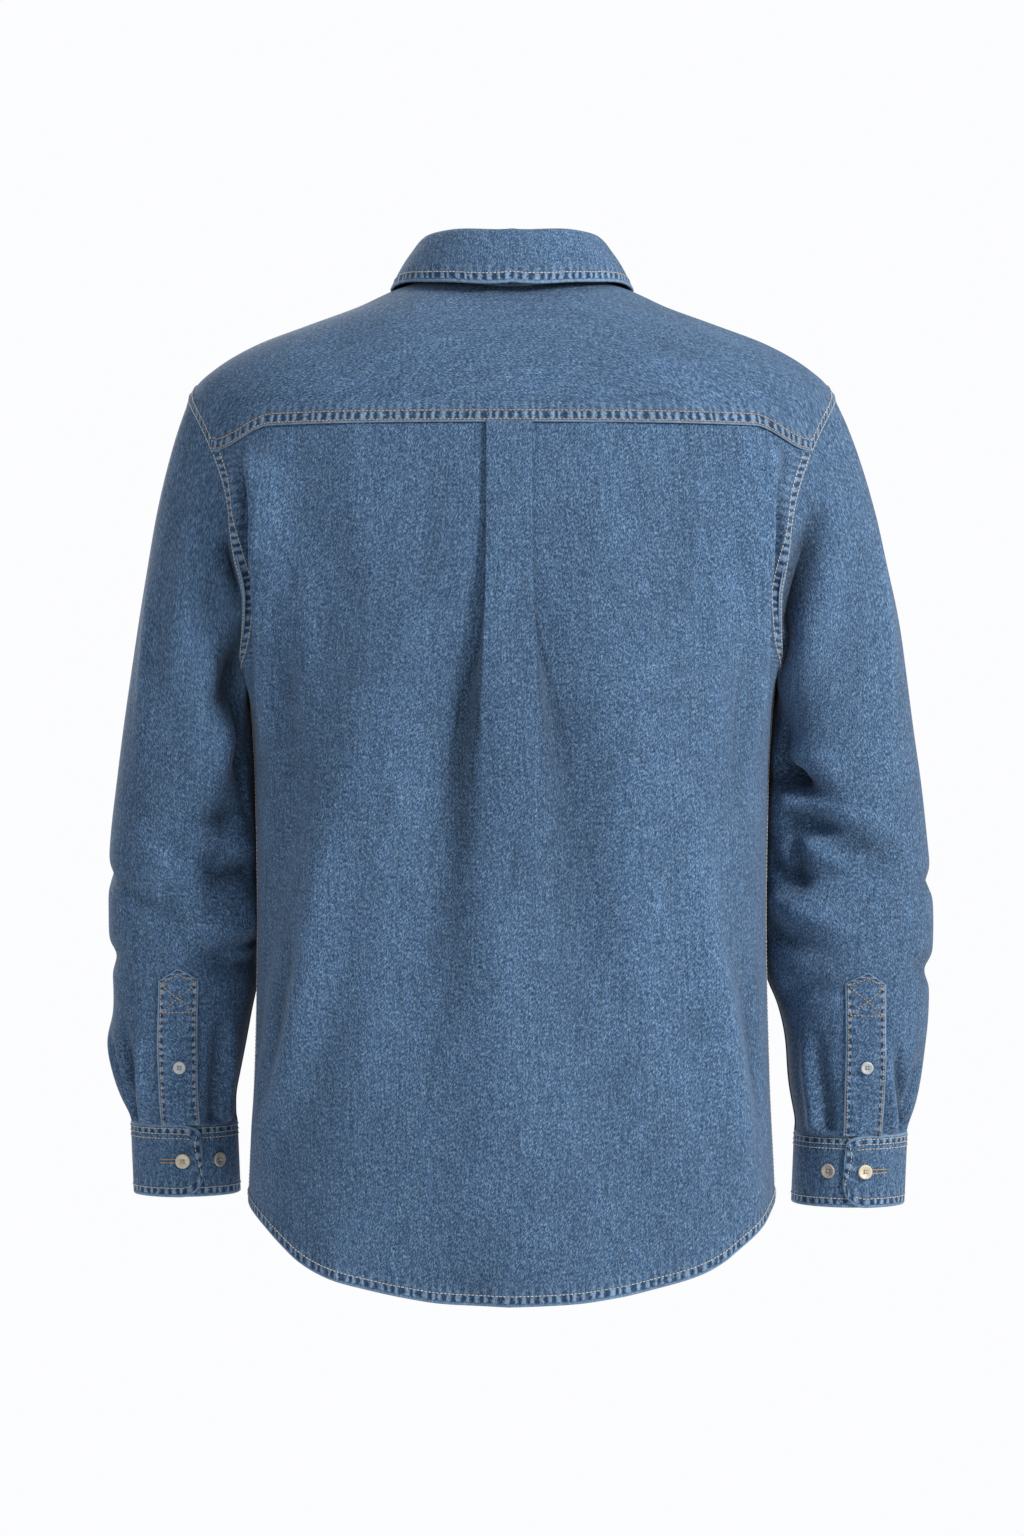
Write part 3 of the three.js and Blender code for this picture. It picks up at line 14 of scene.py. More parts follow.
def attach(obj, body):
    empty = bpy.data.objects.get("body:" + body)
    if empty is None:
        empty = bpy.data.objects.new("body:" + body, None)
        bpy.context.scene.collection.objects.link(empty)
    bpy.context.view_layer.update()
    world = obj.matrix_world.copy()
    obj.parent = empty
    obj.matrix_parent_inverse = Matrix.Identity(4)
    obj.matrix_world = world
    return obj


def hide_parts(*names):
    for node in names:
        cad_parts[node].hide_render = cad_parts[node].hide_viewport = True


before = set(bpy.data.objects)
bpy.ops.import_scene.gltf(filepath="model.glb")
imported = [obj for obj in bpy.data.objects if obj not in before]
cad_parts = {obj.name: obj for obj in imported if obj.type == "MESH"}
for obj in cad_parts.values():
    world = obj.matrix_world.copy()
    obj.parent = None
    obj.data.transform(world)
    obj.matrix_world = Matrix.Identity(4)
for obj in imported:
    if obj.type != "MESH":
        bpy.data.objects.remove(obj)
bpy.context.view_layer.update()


def new_object(name, data):
    obj = bpy.data.objects.new(name, data)
    bpy.context.scene.collection.objects.link(obj)
    return obj


# Camera: the photograph looks at the back, square on

PIXEL = 0.765  # millimetres of the shirt's middle plane in one pixel of the 1024 x 1536 frame
DISTANCE = 2600.0
EYE_Z = -364.0
FRAME_WIDTH, FRAME_HEIGHT = 1024, 1536

camera = new_object("camera", bpy.data.cameras.new("camera"))
camera.data.sensor_width = 36
camera.data.lens = 36 * DISTANCE / (FRAME_HEIGHT * PIXEL)
camera.location = (0, DISTANCE / 1000, EYE_Z / 1000)
camera.rotation_euler = (math.radians(90), 0, math.radians(180))
camera.data.clip_start, camera.data.clip_end = 0.05, 50
bpy.context.scene.camera = camera

# Driving dimensions, millimetres

ROUNDNESS = 2.4
UNDERARM_Z = -295.0
BACK_HEM_Z = -756.5
FRONT_HEM_Z = -742.0
SLEEVE_ROUNDNESS = 2.25
SLEEVE_CLEAR = 0.5
RING_STEP = 29.0
CUFF_HEIGHT = 54.0
SINGLE_CLOTH = 1.1
DOUBLE_CLOTH = 2.2
RIM_ROWS = 4  # rows round the edge of a double cloth
FRONT_LAP = 18.0  # the left front past the middle
FRONT_UNDERLAP = 16.0  # the right one, under it


def table(names, text):
    """Columns by name, from one line of numbers for each row."""
    numbers = np.array([[float(x) for x in line.split()] for line in text.strip().splitlines()])
    return dict(zip(names.split(), numbers.T))


HEM = table(
    "across back front",
    """
    0    0    0
    0.25 2    1.5
    0.4  6    4
    0.55 12   9
    0.7  20   16
    0.78 27.5 23
    0.86 40   33
    0.92 50.5 42
    1    64.5 50
    """,
)
TORSO = table(
    "z wide back front",
    """
    12   52    26    18
    7    68    43    31
    -1.5 92    61    42
    -6   102   66    45
    -14  118.5 75    49
    -29  158.5 89    55
    -44  197.5 99    60.5
    -60  225   108   66.5
    -75  241.5 113   72
    -90  248   117   78
    -107 246.5 120   85
    -150 240   126   100
    -190 231   129.5 109
    -240 214.5 130   118
    -295 201   127.5 123
    -380 195   121   124
    -480 193.5 116   120
    -600 196   117.5 117
    -700 200.5 121   117
    -765 202   122   117
    """,
)
PLEAT = table(
    "z turn under bend box sink",
    """
    -100 180 12 2.4 16.6 0
    -170 178 10 2.6 16.6 0
    -215 165 7  3   16.8 1.5
    -260 118 3  5   17.5 4
    -315 62  4  9   19   5
    -390 32  5  15  20   4.5
    -470 17  6  22  20   3.4
    -560 9   8  30  18   2
    -765 4   8  34  16   1
    """,
)
PLEAT_MIDDLE = 2.2
SINK_REACH = 38.0
NECK = table("angle radius", "0 64\n90 68\n180 72")
NECK_CORNER_ANGLE = 117.0
STAND = table(
    "angle rise lean",
    """
    0   34   7
    35  30.5 7
    60  26.5 7
    90  23.5 7
    135 25   6
    180 26   4
    """,
)
FALL = table(
    "angle radius lift",
    """
    0   71   10.5
    30  77   9
    60  86   5
    90  90.5 2.6
    110 92   2.6
    130 93   2.8
    151 98.5 3.4
    """,
)
FALL_TOP_END = 172.0
FALL_EDGE_END = 151.0
ROLL = ((0, 1.5), (0.3, 4.6), (2.4, 7.2), (5.6, 7.6), (9.4, 5.2))
LEFT_SLEEVE = table(
    "outX outZ inX inZ midY depth",
    """
    248   -80  201   -295 2     69
    257.5 -106 199   -301 -1    69
    265.5 -136 197   -307 -4    68.5
    273   -171 196   -315 -8    68
    279   -208 195   -325 -12   67.5
    286   -249 194   -339 -16   67
    293   -293 193   -358 -20   66
    299.5 -335 193   -380 -24   65
    305   -376 192   -405 -28   64
    310   -415 191.5 -432 -31   62.5
    312   -447 191.5 -456 -33   61
    312   -477 192   -480 -34   59.5
    311.5 -505 198   -502 -35   58
    308.5 -530 197   -525 -36   56
    308.5 -552 202   -550 -37   54
    314.5 -575 206.5 -575 -38.5 51
    310   -600 211.5 -600 -40   48
    303.5 -619 215   -619 -42   44
    297.5 -631 215   -631 -43   40.5
    295.5 -638 214   -638 -44   39
    """,
)
RIGHT_SLEEVE = table(
    "outX outZ inX inZ midY depth",
    """
    248   -80  201   -295 2     69
    260   -106 199   -301 -1    69
    270   -136 197   -307 -4    68.5
    279.5 -171 196   -315 -8    68
    287.5 -209 195   -325 -12   67.5
    297   -250 194   -339 -16   67
    303.5 -294 193   -358 -20   66
    309.5 -337 193   -380 -24   65
    316   -378 192   -405 -28   64
    320.5 -417 191.5 -432 -31   62.5
    324   -449 191.5 -456 -33   61
    326   -479 192   -480 -34   60
    325.5 -507 194   -504 -35   59
    323   -532 198   -528 -36   57.5
    322.5 -555 208   -552 -37   55.5
    320   -580 213   -577 -38.5 53
    317   -605 214.5 -603 -40   49.5
    313   -625 218   -624 -42   46
    308.5 -638 220.5 -638 -43   43
    306.5 -646 220   -646 -44   41.5
    """,
)
FOLD_COLUMNS = "fromA fromB toA toB width height"
TORSO_FOLDS = table(
    FOLD_COLUMNS,
    """
    196  -130 197  -285 11 6
    -192 -135 -197 -280 10 5
    118  -340 186  -620 24 5
    160  -400 192  -560 18 -4
    -130 -400 -178 -690 22 4.5
    34   -400 56   -720 30 -3
    -60  -380 -84  -720 34 -3.5
    """,
)
LEFT_SLEEVE_FOLDS = table(
    FOLD_COLUMNS,
    """
    175 3    120 9    17  -9
    185 9.6  105 9.4  12  -8
    190 11.6 130 11.3 12  5
    195 12   125 12.3 10  -7
    38  19.4 24  15.5 7.5 -8
    -36 19.4 -30 16   8   -7
    """,
)
RIGHT_SLEEVE_FOLDS = table(
    FOLD_COLUMNS,
    """
    175 2.5  118 8    17  -10
    185 8.6  118 8.4  10  -9
    180 10.2 88  9.7  11  -7
    190 13.6 120 13.2 12  -6
    36  19.4 30  16   7.5 -8
    -36 19.4 -30 16   8   -7
    """,
)
ARMHOLE = dict(topZ=-80.0, backDepth=72.0, frontDepth=67.0, roundness=2.2)
YOKE_BACK_ANGLE, YOKE_FRONT_ANGLE = 57.0, -38.0
YOKE_SEAM_Z = -111.0
ARM_RADIUS = 52  # turns a fold's angle on a sleeve into a length


def smooth(t):
    t = np.clip(t, 0, 1)
    return t * t * (3 - 2 * t)


def mix(a, b, t):
    return a + (b - a) * t


def column(xs, ys):
    """A smooth function through the points, without overshoot, held level past both ends."""
    order = np.argsort(xs)
    xs, ys = np.asarray(xs, float)[order], np.asarray(ys, float)[order]
    width = np.diff(xs)
    slope = np.diff(ys) / width
    tangent = np.zeros(len(xs))
    tangent[0], tangent[-1] = slope[0], slope[-1]
    for i in range(1, len(xs) - 1):
        if slope[i - 1] * slope[i] > 0:
            before, after = 2 * width[i] + width[i - 1], width[i] + 2 * width[i - 1]
            tangent[i] = (before + after) / (before / slope[i - 1] + after / slope[i])

    def at(v):
        v = np.clip(np.asarray(v, float), xs[0], xs[-1])
        i = np.clip(np.searchsorted(xs, v, side="right") - 1, 0, len(xs) - 2)
        t = (v - xs[i]) / width[i]
        rise = width[i] * (tangent[i] * t * (1 - t) ** 2 - tangent[i + 1] * t * t * (1 - t))
        return mix(ys[i], ys[i + 1], t * t * (3 - 2 * t)) + rise

    return at


def softened(fn, low, high, reach):
    """The function averaged over a short reach, so that its curve has no kinks."""
    xs = np.linspace(low, high, 1600)
    offsets = np.linspace(-2, 2, 33)
    weights = np.exp(-(offsets**2) * 1.4)
    # near an end the reach shrinks, so that the ends stay where they are
    room = np.minimum(1, np.minimum(xs - low, high - xs) / (2 * reach))
    values = sum(w * fn(xs + o * reach * room) for o, w in zip(offsets, weights)) / weights.sum()
    return lambda v: np.interp(v, xs, values)


torso_at = {key: column(TORSO["z"], TORSO[key]) for key in ("wide", "back", "front")}
back_rise = column(HEM["across"], HEM["back"])
front_rise = column(HEM["across"], HEM["front"])
neck_radius = column(NECK["angle"], NECK["radius"])
stand_rise, stand_lean = (column(STAND["angle"], STAND[key]) for key in ("rise", "lean"))
fall_radius, fall_lift = (column(FALL["angle"], FALL[key]) for key in ("radius", "lift"))

# Torso surface, tabled by level and by share of the half ring from the middle of the back

LEVEL_STEP = 2.0
LEVELS = np.arange(-780.0, 12.5, LEVEL_STEP)
TURNS = np.linspace(0, np.pi, 1025)
SHARES = np.linspace(0, 1, 1025)
_power = 2 / ROUNDNESS
_ring_x, _ring_y, _length_at, _total = [], [], [], []
for _z in LEVELS:
    _depth = np.where(np.cos(TURNS) >= 0, torso_at["back"](_z), -torso_at["front"](_z))
    _x = torso_at["wide"](_z) * np.abs(np.sin(TURNS)) ** _power
    _y = _depth * np.abs(np.cos(TURNS)) ** _power
    _x[-1] = 0
    _s = np.concatenate([[0], np.cumsum(np.hypot(np.diff(_x), np.diff(_y)))])
    _total.append(_s[-1])
    _length_at.append(_s)
    _ring_x.append(np.interp(SHARES * _s[-1], _s, _x))
    _ring_y.append(np.interp(SHARES * _s[-1], _s, _y))
RING_X, RING_Y, LENGTH_AT, TOTAL = map(np.array, (_ring_x, _ring_y, _length_at, _total))


def look_up(values, z, u):
    """A value from a table by level and by a number from 0 to 1."""
    row = np.clip((z - LEVELS[0]) / LEVEL_STEP, 0, len(LEVELS) - 1.0001)
    col = np.clip(u, 0, 1) * (values.shape[1] - 1)
    i, j = row.astype(int), np.minimum(col.astype(int), values.shape[1] - 2)
    a, b = row - i, col - j
    upper = mix(values[i, j], values[i, j + 1], b)
    lower = mix(values[i + 1, j], values[i + 1, j + 1], b)
    return mix(upper, lower, a)


def total_at(z):
    return np.interp(z, LEVELS, TOTAL)


def torso_point(z, around):
    """Points on the torso, at a level and a length round the ring from the middle of the back."""
    z, around = np.broadcast_arrays(np.asarray(z, float), np.asarray(around, float))
    share = np.abs(around) / total_at(z)
    sign = np.where(around < 0, -1.0, 1.0) * np.where(share > 1, -1.0, 1.0)
    share = np.where(share > 1, 2 - share, share)
    return np.stack([sign * look_up(RING_X, z, share), look_up(RING_Y, z, share), z], -1)


def torso_depth(y, z):
    return np.where(y >= 0, torso_at["back"](z), torso_at["front"](z))


def torso_normal(p):
    """Outward normals of the torso's surface at points on it."""
    x, y, z = p[..., 0], p[..., 1], p[..., 2]
    wide = torso_at["wide"](z)
    depth = torso_depth(y, z)
    d = 2.5
    wide_z = (torso_at["wide"](z + d) - torso_at["wide"](z - d)) / (2 * d)
    depth_z = (torso_depth(y, z + d) - torso_depth(y, z - d)) / (2 * d)
    n = ROUNDNESS
    ax, ay = np.abs(x) / wide, np.abs(y) / depth
    grad = np.stack(
        [
            np.sign(x) * ax ** (n - 1) / wide,
            np.sign(y) * ay ** (n - 1) / depth,
            -(ax**n) * wide_z / wide - (ay**n) * depth_z / depth,
        ],
        -1,
    )
    return unit(grad)


def unit(v):
    return v / np.maximum(np.linalg.norm(v, axis=-1, keepdims=True), 1e-9)


def lengths(points, axis=0):
    """How far along its line each point of a line or grid lies."""
    steps = np.linalg.norm(np.diff(points, axis=axis), axis=-1)
    return np.concatenate([np.zeros_like(np.take(steps, [0], axis)), np.cumsum(steps, axis)], axis)


def around_at_depth(z, y):
    z, y = np.broadcast_arrays(np.asarray(z, float), np.asarray(y, float))
    depth = torso_depth(y, z)
    turn = np.arccos(np.clip(np.abs(y) / depth, 0, 1) ** (ROUNDNESS / 2))
    turn = np.where(y >= 0, turn, np.pi - turn)
    return look_up(LENGTH_AT, z, turn / np.pi)


def around_of(p):
    """The length round the ring of points on the torso."""
    x, y, z = p[..., 0], p[..., 1], p[..., 2]
    depth = torso_depth(y, z)
    power = ROUNDNESS / 2
    turn = np.arctan2((np.abs(x) / torso_at["wide"](z)) ** power, (np.abs(y) / depth) ** power)
    turn = np.where(y >= 0, turn, np.pi - turn)
    return np.where(x < 0, -1, 1) * look_up(LENGTH_AT, z, turn / np.pi)


def torso_width(y, z):
    depth = torso_depth(y, z)
    share = np.clip(np.abs(y) / depth, 0, 1)
    return torso_at["wide"](z) * (1 - share**ROUNDNESS) ** (1 / ROUNDNESS)


def torso_top(x, y):
    x, y = np.broadcast_arrays(np.asarray(x, float), np.asarray(y, float))
    low, high = np.full(x.shape, -400.0), np.full(x.shape, 12.0)
    found = np.zeros(x.shape, bool)
    for z in np.arange(12.0, -400.0, -4.0):
        inside = ~found & (torso_width(y, z) > np.abs(x))
        low, high = np.where(inside, z, low), np.where(inside, z + 4, high)
        found = found | inside
    for _ in range(24):
        z = (low + high) / 2
        inside = torso_width(y, z) > np.abs(x)
        low, high = np.where(inside, z, low), np.where(inside, high, z)
    return (low + high) / 2


def fold_height(folds, u, v):
    """Height of soft straight folds at a place."""
    height = np.zeros(np.broadcast(u, v).shape)
    for fromA, fromB, toA, toB, width, tall in zip(*(folds[key] for key in FOLD_COLUMNS.split())):
        du, dv = toA - fromA, toB - fromB
        length = math.hypot(du, dv)
        along = ((u - fromA) * du + (v - fromB) * dv) / length
        across = ((u - fromA) * dv - (v - fromB) * du) / length
        past = np.maximum(0, np.maximum(-along, along - length))
        height += tall * np.exp(-((across / width) ** 2) - (past / (2.2 * width)) ** 2)
    return height


def around_at_width(z, x):
    share = np.clip(np.abs(x) / torso_at["wide"](z), 0, 1)
    y = torso_at["back"](z) * (1 - share**ROUNDNESS) ** (1 / ROUNDNESS)
    return np.sign(x) * around_at_depth(z, y)


TORSO_FOLDS["fromA"] = around_at_width(TORSO_FOLDS["fromB"], TORSO_FOLDS["fromA"])
TORSO_FOLDS["toA"] = around_at_width(TORSO_FOLDS["toB"], TORSO_FOLDS["toA"])


def torso_fold(z, around):
    edge = smooth((around_at_depth(z, 0) - np.abs(around)) / 14)
    return fold_height(TORSO_FOLDS, around, z) * edge * smooth((-118 - z) / 30)


# Seams


def armhole_place(angle):
    middle = (ARMHOLE["topZ"] + UNDERARM_Z) / 2
    turn = np.radians(angle)
    z = middle + (ARMHOLE["topZ"] - UNDERARM_Z) / 2 * np.cos(turn)
    depth = np.where(np.sin(turn) >= 0, ARMHOLE["backDepth"], -ARMHOLE["frontDepth"])
    return z, around_at_depth(z, depth * np.abs(np.sin(turn)) ** (2 / ARMHOLE["roundness"]))


def yoke_seam_z(x):
    return YOKE_SEAM_Z - 16 * smooth((np.abs(x) - 178) / 44)


def neck_place(angle):
    """Level and length round the ring of the neck opening. The angle may run past the front's middle."""
    angle = np.asarray(angle, float)
    reach = np.abs(angle)
    folded = np.where(reach > 180, 360 - reach, reach)
    radius = neck_radius(folded)
    x, y = radius * np.sin(np.radians(folded)), radius * np.cos(np.radians(folded))
    z = torso_top(x, y)
    around = around_at_depth(z, y)
    around = np.where(reach > 180, 2 * total_at(z) - around, around)
    return z, np.where(angle < 0, -around, around)


def hem_z(share, front):
    level = FRONT_HEM_Z if front else BACK_HEM_Z
    side = around_at_depth(level, 0)
    around = mix(total_at(level), side, share) if front else side * share
    across = np.abs(torso_point(level, around)[..., 0]) / torso_at["wide"](level)
    return level + (front_rise if front else back_rise)(across)


# Folds laid one by one. Each is a line of places with a height at each, and the widths of its two flanks.


def nearest_on_line(p, line):
    """Distance to a line of points, where along it, from 0 to its number of spans, and the offset from it."""
    best = np.full(p.shape[:-1], 1e9)
    where = np.zeros(p.shape[:-1])
    offset = np.zeros(p.shape)
    for i in range(len(line) - 1):
        a, span = line[i], line[i + 1] - line[i]
        t = np.clip(((p - a) @ span) / max(span @ span, 1e-9), 0, 1)
        gap = p - (a + t[..., None] * span)
        d = np.linalg.norm(gap, axis=-1)
        closer = d < best
        best = np.where(closer, d, best)
        where = np.where(closer, i + t, where)
        offset = np.where(closer[..., None], gap, offset)
    return best, where, offset


def pixel_of(p):
    k = DISTANCE / (DISTANCE - p[..., 1]) / PIXEL
    return np.stack([FRAME_WIDTH / 2 - p[..., 0] * k, FRAME_HEIGHT / 2 - (p[..., 2] - EYE_Z) * k], -1)


def place_on(points, normals, view, a, b):
    """The point of a cloth that lies at a place given in one of three views."""
    flat, flat_n = points.reshape(-1, 3), normals.reshape(-1, 3)
    if view in ("seen", "hidden"):  # pixels of the photograph, on the side that faces it or behind
        at = pixel_of(flat)
        facing = flat_n[:, 1] * (1 if view == "seen" else -1)
        gap = np.hypot(at[:, 0] - a, at[:, 1] - b) * PIXEL
    else:  # millimetres back and up, on the outer side of a sleeve
        facing = flat_n[:, 0] * np.sign(flat[:, 0])
        gap = np.hypot(flat[:, 1] - a, flat[:, 2] - b)
    gap = gap + np.where(facing < 0.0, 60, 0)
    return flat[np.argmin(gap)]


def hand_folds(points, normals, folds):
    """The height of the listed folds all over a cloth."""
    height = np.zeros(points.shape[:-1])
    for view, near, far, line in folds:
        spots = []
        for (a, b, h), (c, d, k) in zip(line, line[1:]):
            count = max(1, int(math.hypot(c - a, d - b) / 14))
            spots += [(mix(a, c, t), mix(b, d, t), mix(h, k, t)) for t in np.arange(count) / count]
        spots.append(line[-1])
        places = np.array([place_on(points, normals, view, a, b) for a, b, _ in spots])
        for _ in range(2):
            places[1:-1] = (places[:-2] + 2 * places[1:-1] + places[2:]) / 4
        tall = np.array([h for _, _, h in spots], float)
        reach = 3.2 * max(near, far)
        inside = np.all(
            (points > places.min(0) - reach) & (points < places.max(0) + reach), axis=-1
        )
        if not inside.any():
            continue
        p, n = points[inside], normals[inside]
        gap, where, offset = nearest_on_line(p, places)
        i = np.clip(where.astype(int), 0, len(places) - 2)
        run = unit(places[i + 1] - places[i])
        side = np.einsum("ij,ij->i", np.cross(run, n), offset)
        width = np.where(side < 0, near, far)
        # where the line's end is nearest, the fold dies away with the distance past it
        h = np.interp(where, np.arange(len(tall)), tall)
        height[inside] += h * np.exp(-((gap / width) ** 2))
    return height


# Cloth pieces


MARKS = ("edge", "run", "tone", "band")


class Cloth:
    """A grid of points on a garment surface, with outward normals and the cloth's own coordinates."""

    def __init__(self, points, normals, cloth_uv):
        self.p, self.n, self.uv = points, unit(normals), cloth_uv
        shape = points.shape[:2]
        self.edge = np.full(shape, 60.0)  # millimetres to the nearest seam
        self.run = np.zeros(shape)  # millimetres along it
        # paler on worn crests, darker with painted shade in troughs, under the pleat's box and where sleeves
        # face the body
        self.tone = np.zeros(shape)  # lighter or darker than the cloth
        self.band = np.full(shape, 11.0)  # width of the seam's stitched band

    def from_border(self, border):
        """Distance from a border along the grid's lines, and the length along that border."""
        p = self.turned(border, self.p)
        gap = lengths(p)
        run = np.broadcast_to(lengths(p[0]), gap.shape)
        return self.turned(border, gap, back=True), self.turned(border, run, back=True)

    @staticmethod
    def turned(border, values, back=False):
        if border == "top":
            return values
        if border == "bottom":
            return values[::-1]
        swapped = np.swapaxes(values, 0, 1)
        if border == "first":
            return swapped
        return np.swapaxes(values[:, ::-1], 0, 1) if not back else swapped[:, ::-1]

    def seam(self, border, band=11.0, raised=0.0, sink=0.0, where=None, marked=True):
        """Marks a border as sewn: the band beside it stands proud, or lies under its neighbour."""
        gap, run = self.from_border(border)
        keep = np.ones(gap.shape, bool) if where is None else where
        near = (gap < self.edge) & keep & marked
        self.edge = np.where(near, gap, self.edge)
        self.run = np.where(near, run, self.run)
        self.band = np.where(near, band, self.band)
        lift = raised * smooth((band + 1.5 - gap) / 2.5) - sink * smooth(1 - gap / 5)
        self.p = self.p + self.n * (lift * keep)[..., None]

    def line(self, border, gap, start=0.0, end=1.0):
        """Points and normals of a line parallel to a border."""
        distance, _ = self.from_border(border)
        distance, p, n = (self.turned(border, v) for v in (distance, self.p, self.n))
        count = p.shape[1]
        picks = range(int(start * (count - 1)), int(round(end * (count - 1))) + 1)
        at, facing = [], []
        for c in picks:
            at.append([np.interp(gap, distance[:, c], p[:, c, k]) for k in range(3)])
            facing.append([np.interp(gap, distance[:, c], n[:, c, k]) for k in range(3)])
        return np.array(at), unit(np.array(facing))

    def roll(self, border, radius=0.55, tuck=5.0, steps=4):
        """Turns a border's edge under: rows round a small radius and then back beneath the cloth."""
        p, n, uv = (self.turned(border, v) for v in (self.p, self.n, self.uv))
        out = unit(p[0] - p[1])
        out = unit(out - n[0] * np.einsum("ij,ij->i", out, n[0])[:, None])
        grow_uv = uv[0] - uv[1]
        grow_uv = grow_uv / np.maximum(np.linalg.norm(grow_uv, axis=-1, keepdims=True), 1e-9)
        rows_p, rows_n, rows_uv = [], [], []
        for i in range(1, steps + 1):
            turn = math.pi * i / steps
            rows_p.append(
                p[0] + out * radius * math.sin(turn) - n[0] * radius * (1 - math.cos(turn))
            )
            rows_n.append(n[0] * math.cos(turn) + out * math.sin(turn))
            rows_uv.append(uv[0] + grow_uv * radius * turn)
        rows_p.append(p[0] - out * tuck - n[0] * 2 * radius)
        rows_n.append(-n[0])
        rows_uv.append(uv[0] + grow_uv * (radius * math.pi + tuck))
        self.add_rows(border, rows_p, rows_n, rows_uv)

    def add_rows(self, border, points, normals, cloth_uv):
        """Adds rows outside a border, from the nearest to the farthest, with the border row's own marks."""

        def grown(values, rows=None):
            values = self.turned(border, values)
            rows = np.repeat(values[:1], len(points), 0) if rows is None else np.array(rows)[::-1]
            return self.turned(border, np.concatenate([rows, values]), back=True)

        self.p, self.n, self.uv = grown(self.p, points), grown(self.n, normals), grown(self.uv, cloth_uv)
        for key in MARKS:
            setattr(self, key, grown(getattr(self, key)))


def denser(start, end, step, fine_start=0.0, fine_end=0.0, fine=1.0, length=1.0):
    """Numbers from start to end, closer together near the ends. Lengths are in millimetres."""
    span = abs(end - start)
    scale = length / span  # millimetres for each unit
    a, b = fine_start, length - fine_end
    spots = [np.linspace(0, a, max(1, round(a / fine)) + 1)[:-1]] if a > 0 else []
    spots.append(np.linspace(a, b, max(1, round((b - a) / step)) + 1))
    if fine_end > 0:
        spots.append(np.linspace(b, length, max(1, round(fine_end / fine)) + 1)[1:])
    at = np.concatenate(spots) / scale
    return start + np.sign(end - start) * at


# Torso panels


def pleat_table():
    """The pleat's section for a range of levels: out from its middle, height and turn, at each phase."""
    z = np.arange(-780.0, -90.0, 5.0)
    turn, under, bend, box, sink = (
        softened(column(PLEAT["z"], PLEAT[key]), -780, -90, 8)(z)
        for key in ("turn", "under", "bend", "box", "sink")
    )
    turn = np.radians(turn)
    parts = [(box * 0, box, 8), (box, box + bend, 9), (box + bend, box + bend + under, 4)]
    parts.append((box + bend + under, box + 2 * bend + under, 9))
    phases = np.concatenate(
        [mix(a, b, np.arange(n)[:, None] / n) for a, b, n in parts]
        + [(box + 2 * bend + under)[None]]
    )
    end = phases[-1]
    count = 500
    c = (np.arange(count)[:, None] + 0.5) / count * end
    angle = (
        turn
        * np.clip((c - box) / bend, 0, 1)
        * (1 - np.clip((c - box - bend - under) / bend, 0, 1))
    )
    zero = np.zeros((1, len(z)))
    out = np.concatenate([zero, np.cumsum(np.cos(angle), 0)]) * end / count
    drop = np.concatenate([zero, np.cumsum(np.sin(angle), 0)]) * end / count
    pick = lambda values: np.array(
        [[np.interp(s, np.linspace(0, e, count + 1), v) for s in ph]
         for e, v, ph in zip(end, values.T, phases.T)]
    )
    outs = pick(out)
    lifts = drop[-1][:, None] - pick(drop) - sink[:, None]
    turns = turn[:, None] * (
        np.clip((phases.T - box[:, None]) / bend[:, None], 0, 1)
        * (1 - np.clip((phases.T - (box + bend + under)[:, None]) / bend[:, None], 0, 1))
    )
    return z, outs, lifts, turns, sink


PLEAT_Z, PLEAT_OUT, PLEAT_LIFT, PLEAT_TURN, PLEAT_SINK = pleat_table()
PHASES = PLEAT_OUT.shape[1]


def pleat_values(values, z, phase):
    row = np.clip((z - PLEAT_Z[0]) / 5.0, 0, len(PLEAT_Z) - 1.0001)
    i = row.astype(int)
    return mix(values[i, phase], values[i + 1, phase], row - i)


